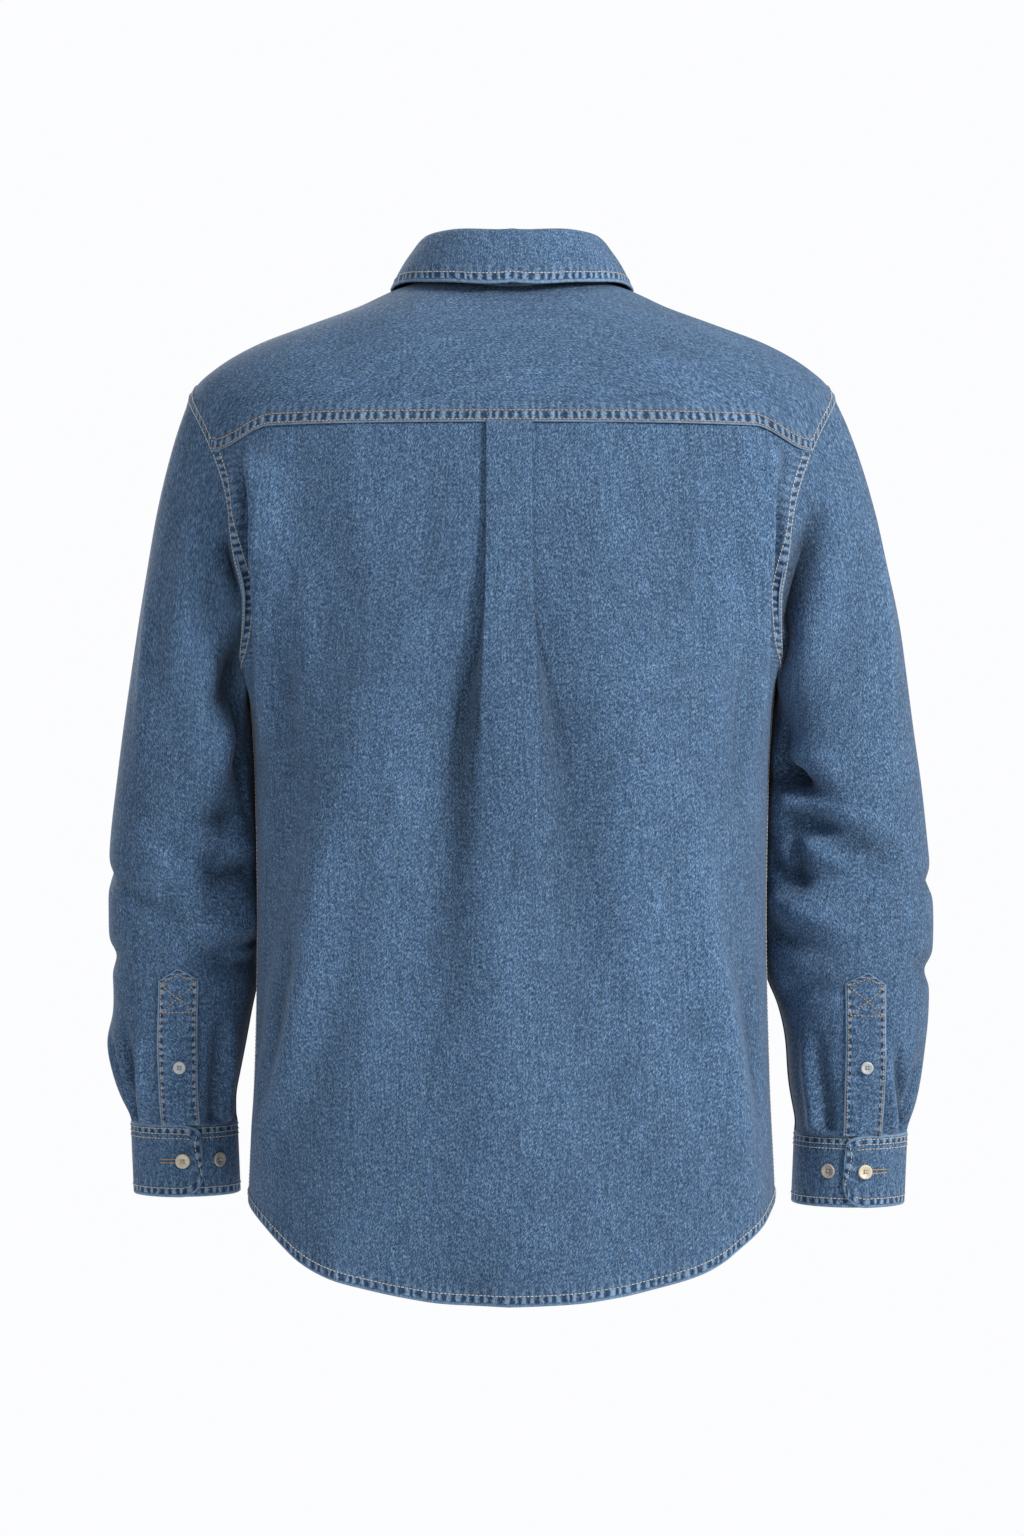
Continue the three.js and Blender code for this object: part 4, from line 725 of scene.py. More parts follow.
def back_cloth():
    arm_top_z, arm_top_around = armhole_place(YOKE_BACK_ANGLE)
    beyond = denser(0, 1, 3.0, 0, 14, 1.2, 230)[1:]
    angles = denser(YOKE_BACK_ANGLE, 180, 2.8, 14, 0, 1.0, 184)
    lower = denser(0, 1, 3.0, 0, 16, 1.2, 450)[1:]
    half = PHASES + len(beyond)
    columns = np.arange(half)
    in_pleat = columns < PHASES
    phase = np.minimum(columns, PHASES - 1)
    t = np.concatenate([np.zeros(PHASES), beyond])

    def arounds(z, edge):
        end = pleat_values(PLEAT_OUT, z, np.full(z.shape, PHASES - 1))
        return np.where(in_pleat, pleat_values(PLEAT_OUT, z, phase), mix(end, edge, t))

    top_around = arounds(np.full(half, YOKE_SEAM_Z), arm_top_around)
    top_x = torso_point(np.full(half, YOKE_SEAM_Z), top_around)[:, 0]
    top_z = yoke_seam_z(top_x)
    top_z[-1] = arm_top_z
    rows_z, rows_edge = [], []
    for angle in angles:
        z, around = armhole_place(angle)
        share = (arm_top_z - z) / (arm_top_z - UNDERARM_Z)
        rows_z.append(mix(top_z, UNDERARM_Z, share))
        rows_edge.append(np.full(half, float(around)))
    for v in lower:
        guess = mix(UNDERARM_Z, BACK_HEM_Z, v)
        side = float(around_at_depth(guess, 0))
        level = mix(UNDERARM_Z, hem_z(arounds(np.full(half, guess), side) / side, False), v)
        rows_z.append(level)
        rows_edge.append(around_at_depth(level, 0))
    z, edge = np.array(rows_z), np.array(rows_edge)
    around = np.array([arounds(a, b) for a, b in zip(z, edge)])
    sides = []
    for sign in (-1, 1):
        base = torso_point(z, sign * around)
        normal = torso_normal(base)
        base = base + normal * torso_fold(z, sign * around)[..., None]
        end = pleat_values(PLEAT_OUT, z, np.full(z.shape, PHASES - 1))
        sink = np.interp(z, PLEAT_Z, PLEAT_SINK)
        beside = (around - end) / SINK_REACH
        settled = smooth((edge - around) / 30)
        outside = -sink * np.exp(-(beside**2)) * settled
        lift = pleat_values(PLEAT_LIFT, z, np.broadcast_to(phase, z.shape))
        turn = pleat_values(PLEAT_TURN, z, np.broadcast_to(phase, z.shape))
        up = np.array([0, 0, 1.0])
        round_way = unit(np.cross(up, normal))
        facing = normal * np.cos(turn)[..., None] + round_way * (sign * np.sin(turn))[..., None]
        folded = base + normal * (lift - SINGLE_CLOTH / 2)[..., None] + facing * (SINGLE_CLOTH / 2)
        points = np.where(in_pleat[:, None], folded, base + normal * outside[..., None])
        normals = np.where(in_pleat[:, None], facing, normal)
        sides.append((points, normals, np.stack([sign * lengths(points, 1), -lengths(base)], -1)))
    (lp, ln, luv), (rp, rn, ruv) = sides
    join = lambda a, b: np.concatenate([a[:, ::-1][:, :-1], b], 1)
    cloth = Cloth(join(lp, rp), join(ln, rn), join(luv, ruv))
    # the pleat hangs a little beside the middle
    shift = PLEAT_MIDDLE * np.exp(-((cloth.p[..., 0] / 120) ** 2))
    cloth.p[..., 0] += shift
    return cloth, len(angles)


def coons(top, bottom, first, last, us, vs):
    u, v = us[None, :, None], vs[:, None, None]
    ruled = mix(top[None], bottom[None], v) + mix(first[:, None], last[:, None], u)
    corners = mix(mix(top[0], top[-1], u), mix(bottom[0], bottom[-1], u), v)
    return ruled - corners


def onto_torso(p):
    inside = np.stack([0.75 * p[..., 0], 0.25 * p[..., 1], np.minimum(p[..., 2], -130)], -1)
    low, high = np.zeros(p.shape[:-1]), np.full(p.shape[:-1], 4.0)
    for _ in range(34):
        t = (low + high) / 2
        at = mix(inside, p, t[..., None])
        within = (at[..., 2] < 12) & (torso_width(at[..., 1], at[..., 2]) > np.abs(at[..., 0]))
        low, high = np.where(within, t, low), np.where(within, high, t)
    return mix(inside, p, low[..., None])


def front_seam_points(ts):
    z0, around0 = neck_place(NECK_CORNER_ANGLE)
    z1, around1 = armhole_place(YOKE_FRONT_ANGLE)
    start, end = torso_point(z0, around0), torso_point(z1, around1)
    points = mix(start[None], end[None], ts[:, None])
    points[:, 2] = torso_top(points[:, 0], points[:, 1])
    points[0], points[-1] = start, end
    return points


def yoke_cloth():
    _, arm_around = armhole_place(YOKE_BACK_ANGLE)
    back = denser(0, 1, 3.0, 0, 14, 1.5, 205)
    seam_around = back * arm_around
    seam = torso_point(yoke_seam_z(torso_point(YOKE_SEAM_Z, seam_around)[:, 0]), seam_around)
    arm = torso_point(*armhole_place(denser(YOKE_BACK_ANGLE, YOKE_FRONT_ANGLE, 3.0, 0, 0, 1, 150)))
    seam[-1] = arm[0]
    half_outer = np.concatenate([seam, arm[1:]])
    half_neck_angles = np.linspace(0, NECK_CORNER_ANGLE, len(half_outer))
    half_neck = torso_point(*neck_place(half_neck_angles))
    flip = lambda pts: pts * np.array([-1, 1, 1])
    whole = lambda half: np.concatenate([flip(half)[::-1][:-1], half])
    vs = denser(0, 1, 3.0, 2, 15, 1.2, 125)  # 0 at the neck, 1 at the outer edge
    side = front_seam_points(vs)
    us = np.linspace(0, 1, 2 * len(half_outer) - 1)
    points = coons(whole(half_neck), whole(half_outer), flip(side), side, us, vs)
    inner = onto_torso(points[1:-1, 1:-1])
    points[1:-1, 1:-1] = inner
    normals = torso_normal(points)
    x, y, z = points[..., 0], points[..., 1], points[..., 2]
    ridge = torso_top(x, 0 * x)
    s = np.sign(y) * (np.abs(y) + 0.9 * np.maximum(0, ridge - z))
    cloth = Cloth(points, normals, np.stack([s, x], -1))
    return cloth, len(seam)


def front_cloth(mirror):
    """One front, from its free edge to the side, made as the left one."""
    free = FRONT_LAP if mirror > 0 else FRONT_UNDERLAP
    edges = np.array([-free, -9, 0, 9, 18, 23.0])
    across = denser(0, 1, 3.2, 0, 14, 1.4, 190)[1:]
    cols = len(edges) + len(across)
    radius = float(neck_radius(180))
    neck_angle = lambda beside: 180 - np.degrees(np.arcsin(beside / radius))
    neck_angles = np.concatenate(
        [neck_angle(edges), mix(neck_angle(edges[-1]), NECK_CORNER_ANGLE, across)]
    )
    seam_ts = denser(0, 1, 3.2, 0, 0, 1, 120)
    seam_points = front_seam_points(seam_ts)
    arm_angles = denser(360 + YOKE_FRONT_ANGLE, 180, 3.2, 0, 0, 1, 260)
    arm_z, arm_around = armhole_place(arm_angles)
    side_z = np.concatenate([seam_points[:, 2], arm_z[1:]])
    side_share = np.concatenate(
        [around_of(seam_points) / total_at(seam_points[:, 2]), (arm_around / total_at(arm_z))[1:]]
    )
    neck_z, neck_around = neck_place(neck_angles)
    t_col = np.concatenate([np.zeros(len(edges)), across])

    def beside(z, edge_around):
        total = total_at(z)
        plain = total - np.concatenate([edges, np.full(len(across), edges[-1])])
        return np.where(t_col > 0, mix(total - edges[-1], edge_around, t_col), plain)

    under = np.full(cols, UNDERARM_Z)
    under_share = beside(under, around_at_depth(UNDERARM_Z, 0)) / total_at(under)
    rows = len(side_z)
    free_z = np.linspace(neck_z[0], UNDERARM_Z, rows)
    free_share = (total_at(free_z) + free) / total_at(free_z)
    top = np.stack([neck_z, neck_around / total_at(neck_z)], -1)
    bottom = np.stack([under, under_share], -1)
    first = np.stack([free_z, free_share], -1)
    last = np.stack([side_z, side_share], -1)
    us = (under_share - under_share[0]) / (under_share[-1] - under_share[0])
    vs = np.linspace(0, 1, rows)
    cells = coons(top, bottom, first, last, us, vs)
    z = cells[..., 0]
    around = cells[..., 1] * total_at(z)
    straight = np.arange(cols) < len(edges)
    around = np.where(straight, total_at(z) - np.pad(edges, (0, cols - len(edges))), around)
    # the rows below the underarm
    lower = denser(0, 1, 3.2, 0, 16, 1.3, 440)[1:]
    rows_z, rows_around = [z], [around]
    for v in lower:
        guess = mix(UNDERARM_Z, FRONT_HEM_Z, v)
        total, side = float(total_at(guess)), float(around_at_depth(guess, 0))
        share = (total - beside(np.full(cols, guess), side)) / (total - side)
        level = mix(UNDERARM_Z, hem_z(np.abs(share), True), v)
        rows_z.append(level[None])
        rows_around.append(beside(level, around_at_depth(level, 0))[None])
    z, around = np.concatenate(rows_z), np.concatenate(rows_around)
    points = torso_point(z, around)
    normals = torso_normal(points)
    points = points + normals * torso_fold(z, around)[..., None]
    if mirror < 0:
        drop = np.where(np.arange(cols) < 5, -1.9, 0)
        points = points + normals * drop[None, :, None]
    u = total_at(z) - around
    uv = np.stack([u, z], -1)
    if mirror < 0:
        points, normals = points * np.array([-1, 1, 1]), normals * np.array([-1, 1, 1])
        uv = uv * np.array([-1, 1])
    return Cloth(points, normals, uv), len(seam_points), rows


# Sleeves


class Sleeve:
    def __init__(self, name, mirror, rows, folds, over_end, placket_x, button_turns):
        self.name, self.mirror, self.rows = name, mirror, rows
        self.over_end, self.placket_x, self.button_turns = over_end, placket_x, button_turns
        last = len(rows["outX"]) - 1
        self.last = last
        index = np.arange(last + 1)
        self.at = {
            key: softened(column(index, rows[key]), 0, last, 0.5)
            for key in ("outX", "outZ", "inX", "inZ", "midY", "depth")
        }
        self.folds = dict(folds)
        for key in ("fromA", "toA"):
            self.folds[key] = np.radians(folds[key]) * ARM_RADIUS
        for key in ("fromB", "toB"):
            self.folds[key] = folds[key] * RING_STEP

    def section(self, angle, ring):
        turn = np.radians(angle)
        power = 2 / SLEEVE_ROUNDNESS
        c = np.sign(np.cos(turn)) * np.abs(np.cos(turn)) ** power / 2
        s = np.sign(np.sin(turn)) * np.abs(np.sin(turn)) ** power
        at = {key: fn(ring) for key, fn in self.at.items()}
        return np.stack(
            [
                (at["outX"] + at["inX"]) / 2 + (at["outX"] - at["inX"]) * c,
                at["midY"] + at["depth"] * s,
                (at["outZ"] + at["inZ"]) / 2 + (at["outZ"] - at["inZ"]) * c,
            ],
            -1,
        )

    def clear(self, p, ring):
        """Keeps the sleeve off the torso beside it, with a soft start."""
        limit = torso_width(p[..., 1], p[..., 2]) + SLEEVE_CLEAR * np.minimum(1, ring / 1.5)
        gap = p[..., 0] - limit
        soft = 3.0 * np.minimum(1, ring / 2) + 1e-6
        pushed = np.where(gap > soft, gap, soft * np.exp(np.minimum(gap - soft, 0) / soft))
        out = p.copy()
        out[..., 0] = limit + np.where(ring < 0.01, gap, pushed)
        return out

    def plain(self, angle, ring):
        angle, ring = np.broadcast_arrays(np.asarray(angle, float), np.asarray(ring, float))
        ease = (1 - smooth(ring / 5)) ** 1.2
        on_arm = torso_point(*armhole_place(angle))
        p = self.section(angle, ring) + (on_arm - self.section(angle, 0 * ring)) * ease[..., None]
        return self.clear(p, ring)

    def surface(self, angle, ring):
        angle, ring = np.broadcast_arrays(np.asarray(angle, float), np.asarray(ring, float))
        p = self.plain(angle, ring)
        down = self.plain(angle, ring + 0.25) - self.plain(angle, np.maximum(0, ring - 0.25))
        normal = unit(np.cross(down, self.plain(angle + 2, ring) - self.plain(angle - 2, ring)))
        turned = np.mod(angle, 360)
        height = sum(
            fold_height(self.folds, np.radians(a) * ARM_RADIUS, ring * RING_STEP)
            for a in (turned, turned - 360)
        )
        height = height * smooth(ring / 1.5) * smooth((self.last - ring) / 1.5)
        height = height * (1 - 0.9 * smooth(1.2 - np.abs(turned - 180) / 40))
        p = self.clear(p + normal * height[..., None], ring)
        flip = np.array([self.mirror, 1, 1])
        return p * flip, normal * flip

    def cloth(self):
        rings = np.concatenate(
            [
                denser(0, 1, 3.0, 14, 0, 1.2, RING_STEP)[:-1],
                np.linspace(1, self.last - 0.6, round((self.last - 1.6) * RING_STEP / 3.0)),
                np.linspace(self.last - 0.6, self.last, 10)[1:],
            ]
        )
        angles = np.linspace(180, 540, 169)
        p, n = self.surface(angles[None, :], rings[:, None])
        around = lengths(p, 1)
        around = around - around[:, -1:] / 2
        v = lengths(p).mean(1)
        uv = np.stack([around * self.mirror, np.broadcast_to(-v[:, None], around.shape)], -1)
        self.rings, self.angles = rings, angles
        return Cloth(p, n, uv)

    def placket_angle(self, ring):
        offset = (2 * self.placket_x - self.at["outX"](ring) - self.at["inX"](ring)) / (
            self.at["outX"](ring) - self.at["inX"](ring)
        )
        return np.degrees(np.arccos(np.sign(offset) * np.abs(offset) ** (SLEEVE_ROUNDNESS / 2)))


LEFT = Sleeve("left", 1, LEFT_SLEEVE, LEFT_SLEEVE_FOLDS, 112.0, 253.5, (-20, 22))
RIGHT = Sleeve("right", -1, RIGHT_SLEEVE, RIGHT_SLEEVE_FOLDS, 100.0, 270.0, (-20, 17))


def bilinear(values, row, col):
    i = np.clip(np.floor(row).astype(int), 0, values.shape[0] - 2)
    j = np.clip(np.floor(col).astype(int), 0, values.shape[1] - 2)
    a, b = (row - i)[..., None], (col - j)[..., None]
    upper = mix(values[i, j], values[i, j + 1], b)
    lower = mix(values[i + 1, j], values[i + 1, j + 1], b)
    return mix(upper, lower, a)


# Collar


def neck_frame(angle):
    z, around = neck_place(angle)
    base = torso_point(z, around)
    reach = np.abs(angle)
    sign = np.where(angle < 0, -1.0, 1.0)
    out = np.stack([sign * np.sin(np.radians(reach)), np.cos(np.radians(reach)), 0 * reach], -1)
    return base, out, np.where(reach > 180, 360 - reach, reach)


def stand_shift(angle):
    return np.sign(angle) * 1.5 * smooth((np.abs(angle) - 150) / 16)


FRONT_LAP_ANGLE = math.degrees(math.asin(FRONT_LAP / 72))


def stand_grid():
    end = 180 + FRONT_LAP_ANGLE
    angles = np.linspace(-end, end, 241)
    heights = np.linspace(1, 0, 15)
    base, out, folded = neck_frame(angles)
    ended = 1 - smooth((np.abs(angles) - 180) / FRONT_LAP_ANGLE)
    rise = stand_rise(folded) * mix(0.72, 1, ended)
    shift = stand_shift(angles) + DOUBLE_CLOTH / 2
    h = heights[:, None]
    p = base[None] + out[None] * (shift - stand_lean(folded) * h)[..., None]
    p[..., 2] += 0.5 + rise * h
    n = np.broadcast_to(out[None], p.shape)
    return p, n, angles


def fall_grid():
    ws = np.linspace(-1, 1, 221)
    top_angle = FALL_TOP_END * ws
    base, out, folded = neck_frame(top_angle)
    edge_angle = FALL_EDGE_END * ws
    radius = fall_radius(np.abs(edge_angle))
    edge_x = radius * np.sin(np.radians(edge_angle))
    edge_y = radius * np.cos(np.radians(edge_angle))
    edge = np.stack([edge_x, edge_y, torso_top(edge_x, edge_y)], -1)
    edge = edge + torso_normal(edge) * fall_lift(np.abs(edge_angle))[:, None]
    top = base + out * (stand_shift(top_angle) - stand_lean(folded))[:, None]
    top[:, 2] += 0.5 + stand_rise(folded)
    path = [top + out * a + np.array([0, 0, b]) for a, b in ROLL]
    start = path[-1]
    for t in (0.2, 0.45, 0.72, 1.0):
        path.append(mix(start, edge, t) + out * 2.5 * math.sin(math.pi * t))
    path = np.array(path)  # control rows x columns x 3
    # a smooth curve through the control rows
    spans = np.linalg.norm(np.diff(path, axis=0), axis=-1).mean(1)
    knots = np.concatenate([[0], np.cumsum(spans)])
    fine = denser(0, knots[-1], 2.2, 3, 12, 1.0, knots[-1])
    curve = lambda values: softened(column(knots, values), 0, knots[-1], 1.6)(fine)
    columns = [np.stack([curve(line[:, k]) for k in range(3)], -1) for line in np.swapaxes(path, 0, 1)]
    p = np.swapaxes(np.array(columns), 0, 1)
    along = np.gradient(p, axis=0)
    dot = np.einsum("rcj,cj->rc", along, out)
    n = out[None] * (-along[..., 2:3])
    n = n + np.array([0, 0, 1.0]) * dot[..., None]
    return p + unit(n) * (DOUBLE_CLOTH / 2), unit(n)


# Meshes


def add_mesh(name, verts, faces, material):
    mesh = bpy.data.meshes.new(name)
    mesh.from_pydata([tuple(v) for v in np.asarray(verts) * 0.001], [], faces)
    mesh.polygons.foreach_set("use_smooth", [True] * len(mesh.polygons))
    mesh.update()
    mesh.materials.append(material)
    return new_object(name, mesh)


def grid_mesh(name, cloth, material, weld=False):
    """One mesh from a grid of cloth, its faces looking out. Welded, a grid that runs round is closed."""
    p = cloth.p
    rows, cols = p.shape[:2]
    index = np.arange(rows * cols).reshape(rows, cols)
    a, b, c, d = index[:-1, :-1], index[:-1, 1:], index[1:, 1:], index[1:, :-1]
    quads = np.stack([a, d, c, b], -1).reshape(-1, 4)
    mid_r, mid_c = rows // 2, cols // 4
    q = p[mid_r : mid_r + 2, mid_c : mid_c + 2]
    face = np.cross(q[1, 0] - q[0, 0], q[0, 1] - q[0, 0])
    if face @ cloth.n[mid_r, mid_c] < 0:
        quads = quads[:, ::-1]
    mesh = bpy.data.meshes.new(name)
    mesh.vertices.add(rows * cols)
    mesh.vertices.foreach_set("co", (p.reshape(-1, 3) * 0.001).ravel())
    mesh.loops.add(len(quads) * 4)
    mesh.loops.foreach_set("vertex_index", quads.ravel().astype(np.int32))
    mesh.polygons.add(len(quads))
    mesh.polygons.foreach_set("loop_start", np.arange(0, len(quads) * 4, 4, dtype=np.int32))
    mesh.polygons.foreach_set("use_smooth", np.ones(len(quads), bool))
    layer = mesh.uv_layers.new(name="cloth")
    uv = (cloth.uv.reshape(-1, 2) * 0.01)[quads.ravel()]
    layer.data.foreach_set("uv", uv.ravel())
    for key in MARKS:
        attribute = mesh.attributes.new(key, "FLOAT", "POINT")
        attribute.data.foreach_set("value", getattr(cloth, key).ravel().astype(np.float32))
    mesh.update(calc_edges=True)
    mesh.validate()
    if weld:
        bm = bmesh.new()
        bm.from_mesh(mesh)
        bmesh.ops.remove_doubles(bm, verts=bm.verts, dist=2e-5)
        bm.to_mesh(mesh)
        bm.free()
    mesh.materials.append(material)
    return new_object(name, mesh)


# Materials


class Nodes:
    """Short names for the nodes of one material."""

    def __init__(self, name):
        self.material = bpy.data.materials.new(name)
        self.material.use_nodes = True
        self.tree = self.material.node_tree
        self.shader = self.tree.nodes["Principled BSDF"]

    def node(self, kind, **values):
        node = self.tree.nodes.new(kind)
        for key, value in values.items():
            setattr(node, key, value)
        return node

    def link(self, source, target):
        if isinstance(source, (int, float, tuple)):
            target.default_value = source
        else:
            self.tree.links.new(source, target)

    def fed(self, node, sources):
        """The node, with a number, a colour or another node's output for each of its named sockets."""
        for key, source in sources.items():
            self.link(source, node.inputs[key])
        return node

    def math(self, operation, *values):
        node = self.node("ShaderNodeMath", operation=operation)
        return self.fed(node, dict(enumerate(values))).outputs[0]

    def times(self, a, b):
        return self.math("MULTIPLY", a, b)

    def scaled(self, value, factor, plus):
        return self.math("MULTIPLY_ADD", value, factor, plus)

    def attribute(self, name):
        return self.node("ShaderNodeAttribute", attribute_name=name).outputs["Fac"]

    def vector(self, x, y, z=0.0):
        return self.fed(self.node("ShaderNodeCombineXYZ"), {0: x, 1: y, 2: z}).outputs[0]

    def noise(self, vector, scale=1.0, detail=2.0, rough=0.5, distortion=0.0):
        sources = {"Vector": vector, "Scale": scale, "Detail": detail, "Roughness": rough}
        node = self.fed(self.node("ShaderNodeTexNoise"), sources)
        return self.fed(node, {"Distortion": distortion}).outputs["Fac"]

    def ramp(self, value, low, high, to_low=0.0, to_high=1.0):
        sources = {"Value": value, "From Min": low, "From Max": high, "To Min": to_low, "To Max": to_high}
        node = self.node("ShaderNodeMapRange", interpolation_type="SMOOTHSTEP")
        return self.fed(node, sources).outputs["Result"]

    def blend(self, factor, a, b, mode="MIX"):
        node = self.node("ShaderNodeMix", data_type="RGBA", blend_type=mode)
        return self.fed(node, {0: factor, 6: a, 7: b}).outputs[2]

    def paint(self, colour, shade, surface):
        """The material's colour times a shade, and what else the shader is told."""
        grey = self.fed(self.node("ShaderNodeCombineColor"), {0: shade, 1: shade, 2: shade})
        shaded = self.blend(1.0, colour, grey.outputs[0], "MULTIPLY")
        self.fed(self.shader, {"Base Color": shaded, **surface})


def srgb(r, g, b):
    """Linear colour of an 8-bit one."""
    lin = lambda v: v / 12.92 if v <= 0.04045 else ((v + 0.055) / 1.055) ** 2.4
    return (lin(r / 255), lin(g / 255), lin(b / 255), 1.0)


BASE = dict(mid=srgb(57, 85, 117), pale=srgb(128, 154, 181), deep=srgb(33, 55, 84))


def denim(name, level=1.0, fade=1.0):
    """Washed twill: pale flecks and slubs along the warp, wash clouds, worn and puckered seam bands."""
    k = Nodes(name)
    split = k.node("ShaderNodeSeparateXYZ")
    k.link(k.node("ShaderNodeUVMap", uv_map="cloth").outputs[0], split.inputs[0])
    mm_u, mm_v = (k.times(socket, 100.0) for socket in split.outputs[:2])

    def grain(across, along, wide, long, seed, detail, rough=0.5, bend=0.0):
        """Noise in specks of this width and length in millimetres."""
        place = k.vector(k.math("DIVIDE", across, wide), k.math("DIVIDE", along, long), seed)
        return k.noise(place, 1, detail, rough, bend)

    # flecks about a millimetre wide and 2 to 3 mm long, leaning both ways
    fleck = grain(k.scaled(mm_v, 0.35, mm_u), mm_v, 0.9, 2.1, 0.0, 1.5, 0.6, 0.6)
    crossing_fleck = grain(k.scaled(mm_v, -0.6, mm_u), mm_v, 1.1, 2.4, 7.3, 1.5, 0.6, 0.9)
    slub = grain(mm_u, mm_v, 1.7, 34.0, 3.1, 3.0, 0.6)
    cross = grain(mm_u, mm_v, 30.0, 1.8, 5.7, 2.0)
    cloud = grain(mm_u, mm_v, 24.0, 60.0, 1.7, 3.0, 0.55)
    mottle = grain(mm_u, mm_v, 5.0, 9.0, 9.9, 2.0)
    colour = k.blend(k.times(k.ramp(fleck, 0.46, 0.34), 0.85), BASE["mid"], BASE["deep"])
    colour = k.blend(k.times(k.ramp(fleck, 0.5, 0.66), 0.62), colour, BASE["pale"])
    colour = k.blend(k.times(k.ramp(crossing_fleck, 0.54, 0.68), 0.42), colour, BASE["pale"])
    shade = k.scaled(slub, 1.1, 0.45)
    for pattern, depth in ((cross, 0.2), (cloud, 0.4), (mottle, 0.5)):
        shade = k.times(shade, k.scaled(pattern, depth, 1 - depth / 2))
    # this attribute lightens worn crests and darkens the cloth with painted shade in troughs, under the
    # pleat's box and beside the body
    shade = k.times(shade, k.math("ADD", 1.0, k.attribute("tone")))
    # the stitched band: dark puckers with pale spots between them, and a pale rim
    edge, run, band = (k.attribute(key) for key in ("edge", "run", "band"))
    inside = k.math("DIVIDE", edge, band)
    sway = k.noise(k.vector(k.math("DIVIDE", run, 15.0), 0.3), 1, 2.0, 0.5)
    blot = grain(run, edge, 2.6, 3.0, 0.0, 2.0)
    beat = k.math("SINE", k.scaled(sway, 11.0, k.times(run, 0.95)))
    rope = k.scaled(beat, 0.7, k.scaled(blot, 2.6, -1.3))
    middle = k.times(k.ramp(inside, 0.14, 0.32), k.ramp(inside, 0.96, 0.8))
    outside = k.times(k.ramp(inside, 1.0, 1.12), k.ramp(inside, 2.2, 1.15))
    puckers = k.scaled(outside, 0.35, middle)
    rim = k.times(k.ramp(edge, 1.5, 0.3), k.scaled(blot, 0.6, 0.4))
    bright = k.math("MAXIMUM", k.times(k.ramp(rope, 0.05, -0.6), puckers), rim)
    deep = k.times(k.ramp(rope, 0.0, 0.6), puckers)
    colour = k.blend(k.times(bright, 0.8 * fade), colour, BASE["pale"])
    colour = k.blend(k.times(deep, 0.85 * fade), colour, BASE["deep"])
    surface = {"Roughness": 0.9, "Specular IOR Level": 0.18, "Sheen Weight": 0.12, "Sheen Roughness": 0.5}
    k.paint(colour, k.times(shade, level), surface)
    # relief in millimetres
    twill = k.node("ShaderNodeTexWave", wave_type="BANDS", bands_direction="X", wave_profile="SIN")
    diagonal = k.vector(k.math("DIVIDE", k.math("ADD", mm_u, mm_v), 6.2), 0.0)
    k.fed(twill, {"Vector": diagonal, "Scale": 1.0, "Distortion": 1.2})
    height = k.scaled(twill.outputs["Fac"], 0.05, k.times(fleck, 0.5))
    height = k.scaled(slub, 0.2, height)
    height = k.math("ADD", height, k.times(k.times(rope, puckers), -0.9 * fade))
    bump = k.fed(k.node("ShaderNodeBump"), {"Strength": 0.55, "Distance": 0.001, "Height": height})
    k.link(bump.outputs[0], k.shader.inputs["Normal"])
    return k.material


def speckled(name, colour, noise, shades, surface):
    """A colour broken up by noise between its darkest and its palest shade."""
    k = Nodes(name)
    cloud = k.noise(k.node("ShaderNodeTexCoord").outputs["Object"], *noise)
    k.paint(colour, k.ramp(cloud, 0.3, 0.7, *shades), surface)
    return k.material


def thread_material(name, colour):
    surface = {"Roughness": 0.7, "Specular IOR Level": 0.3}
    return speckled(name, colour, (900, 2, 0.5), (0.72, 1.15), surface)


def button_material(name, colour, veined):
    surface = {"Roughness": 0.32, "Specular IOR Level": 0.5, "Coat Weight": 0.15}
    return speckled(name, colour, (160, 4, 0.6, 1.5), (1 - veined, 1.05), surface)


DENIM = denim("denim_body")
DENIM_YOKE = denim("denim_yoke")
DENIM_WORN = denim("denim_worn", 1.04, fade=1.1)
TAN = thread_material("thread_tan", srgb(186, 158, 124))
PALE_THREAD = thread_material("thread_pale", srgb(196, 192, 184))
CREAM = button_material("button_cream", srgb(222, 208, 184), 0.14)
TAUPE = button_material("button_taupe", srgb(168, 158, 148), 0.16)
SILVER = button_material("button_pale", srgb(190, 194, 196), 0.12)

# Stitches: short capsules along a line on the cloth

CORNERS = [(math.cos(a), math.sin(a)) for a in np.pi * (np.arange(4) / 2 + 0.25)]
CAPSULE = np.array(
    [(-0.5, 0, 0)]
    + [(x, r * c, r * s) for x, r in ((-0.42, 0.75), (0.0, 1.0), (0.42, 0.75)) for c, s in CORNERS]
    + [(0.5, 0, 0)]
)
NEXT = (1, 2, 3, 0)
CAPSULE_FACES = (
    [(0, 1 + NEXT[i], 1 + i) for i in range(4)]
    + [(j + i, j + NEXT[i], j + 4 + NEXT[i], j + 4 + i) for j in (1, 5) for i in range(4)]
    + [(13, 9 + i, 9 + NEXT[i]) for i in range(4)]
)
threads = {}


def stitch(group, line, normals, pitch=2.9, length=2.4, radius=0.46, lift=0.2):
    """A row of stitches along a line of points."""
    run = lengths(line)
    if run[-1] < pitch:
        return
    count = int(run[-1] // pitch)
    middles = (np.arange(count) + 0.5) * run[-1] / count
    at = lambda s: np.stack([np.interp(s, run, line[:, k]) for k in range(3)], -1)
    facing = unit(np.stack([np.interp(middles, run, normals[:, k]) for k in range(3)], -1))
    along = unit(at(middles + length / 2) - at(middles - length / 2))
    side = np.cross(facing, along)
    centre = at(middles) + facing * lift
    verts = (
        centre[:, None]
        + along[:, None] * (CAPSULE[:, 0] * length)[None, :, None]
        + side[:, None] * (CAPSULE[:, 1] * radius)[None, :, None]
        + facing[:, None] * (CAPSULE[:, 2] * radius)[None, :, None]
    )
    threads.setdefault(group, []).append(verts.reshape(-1, 3))


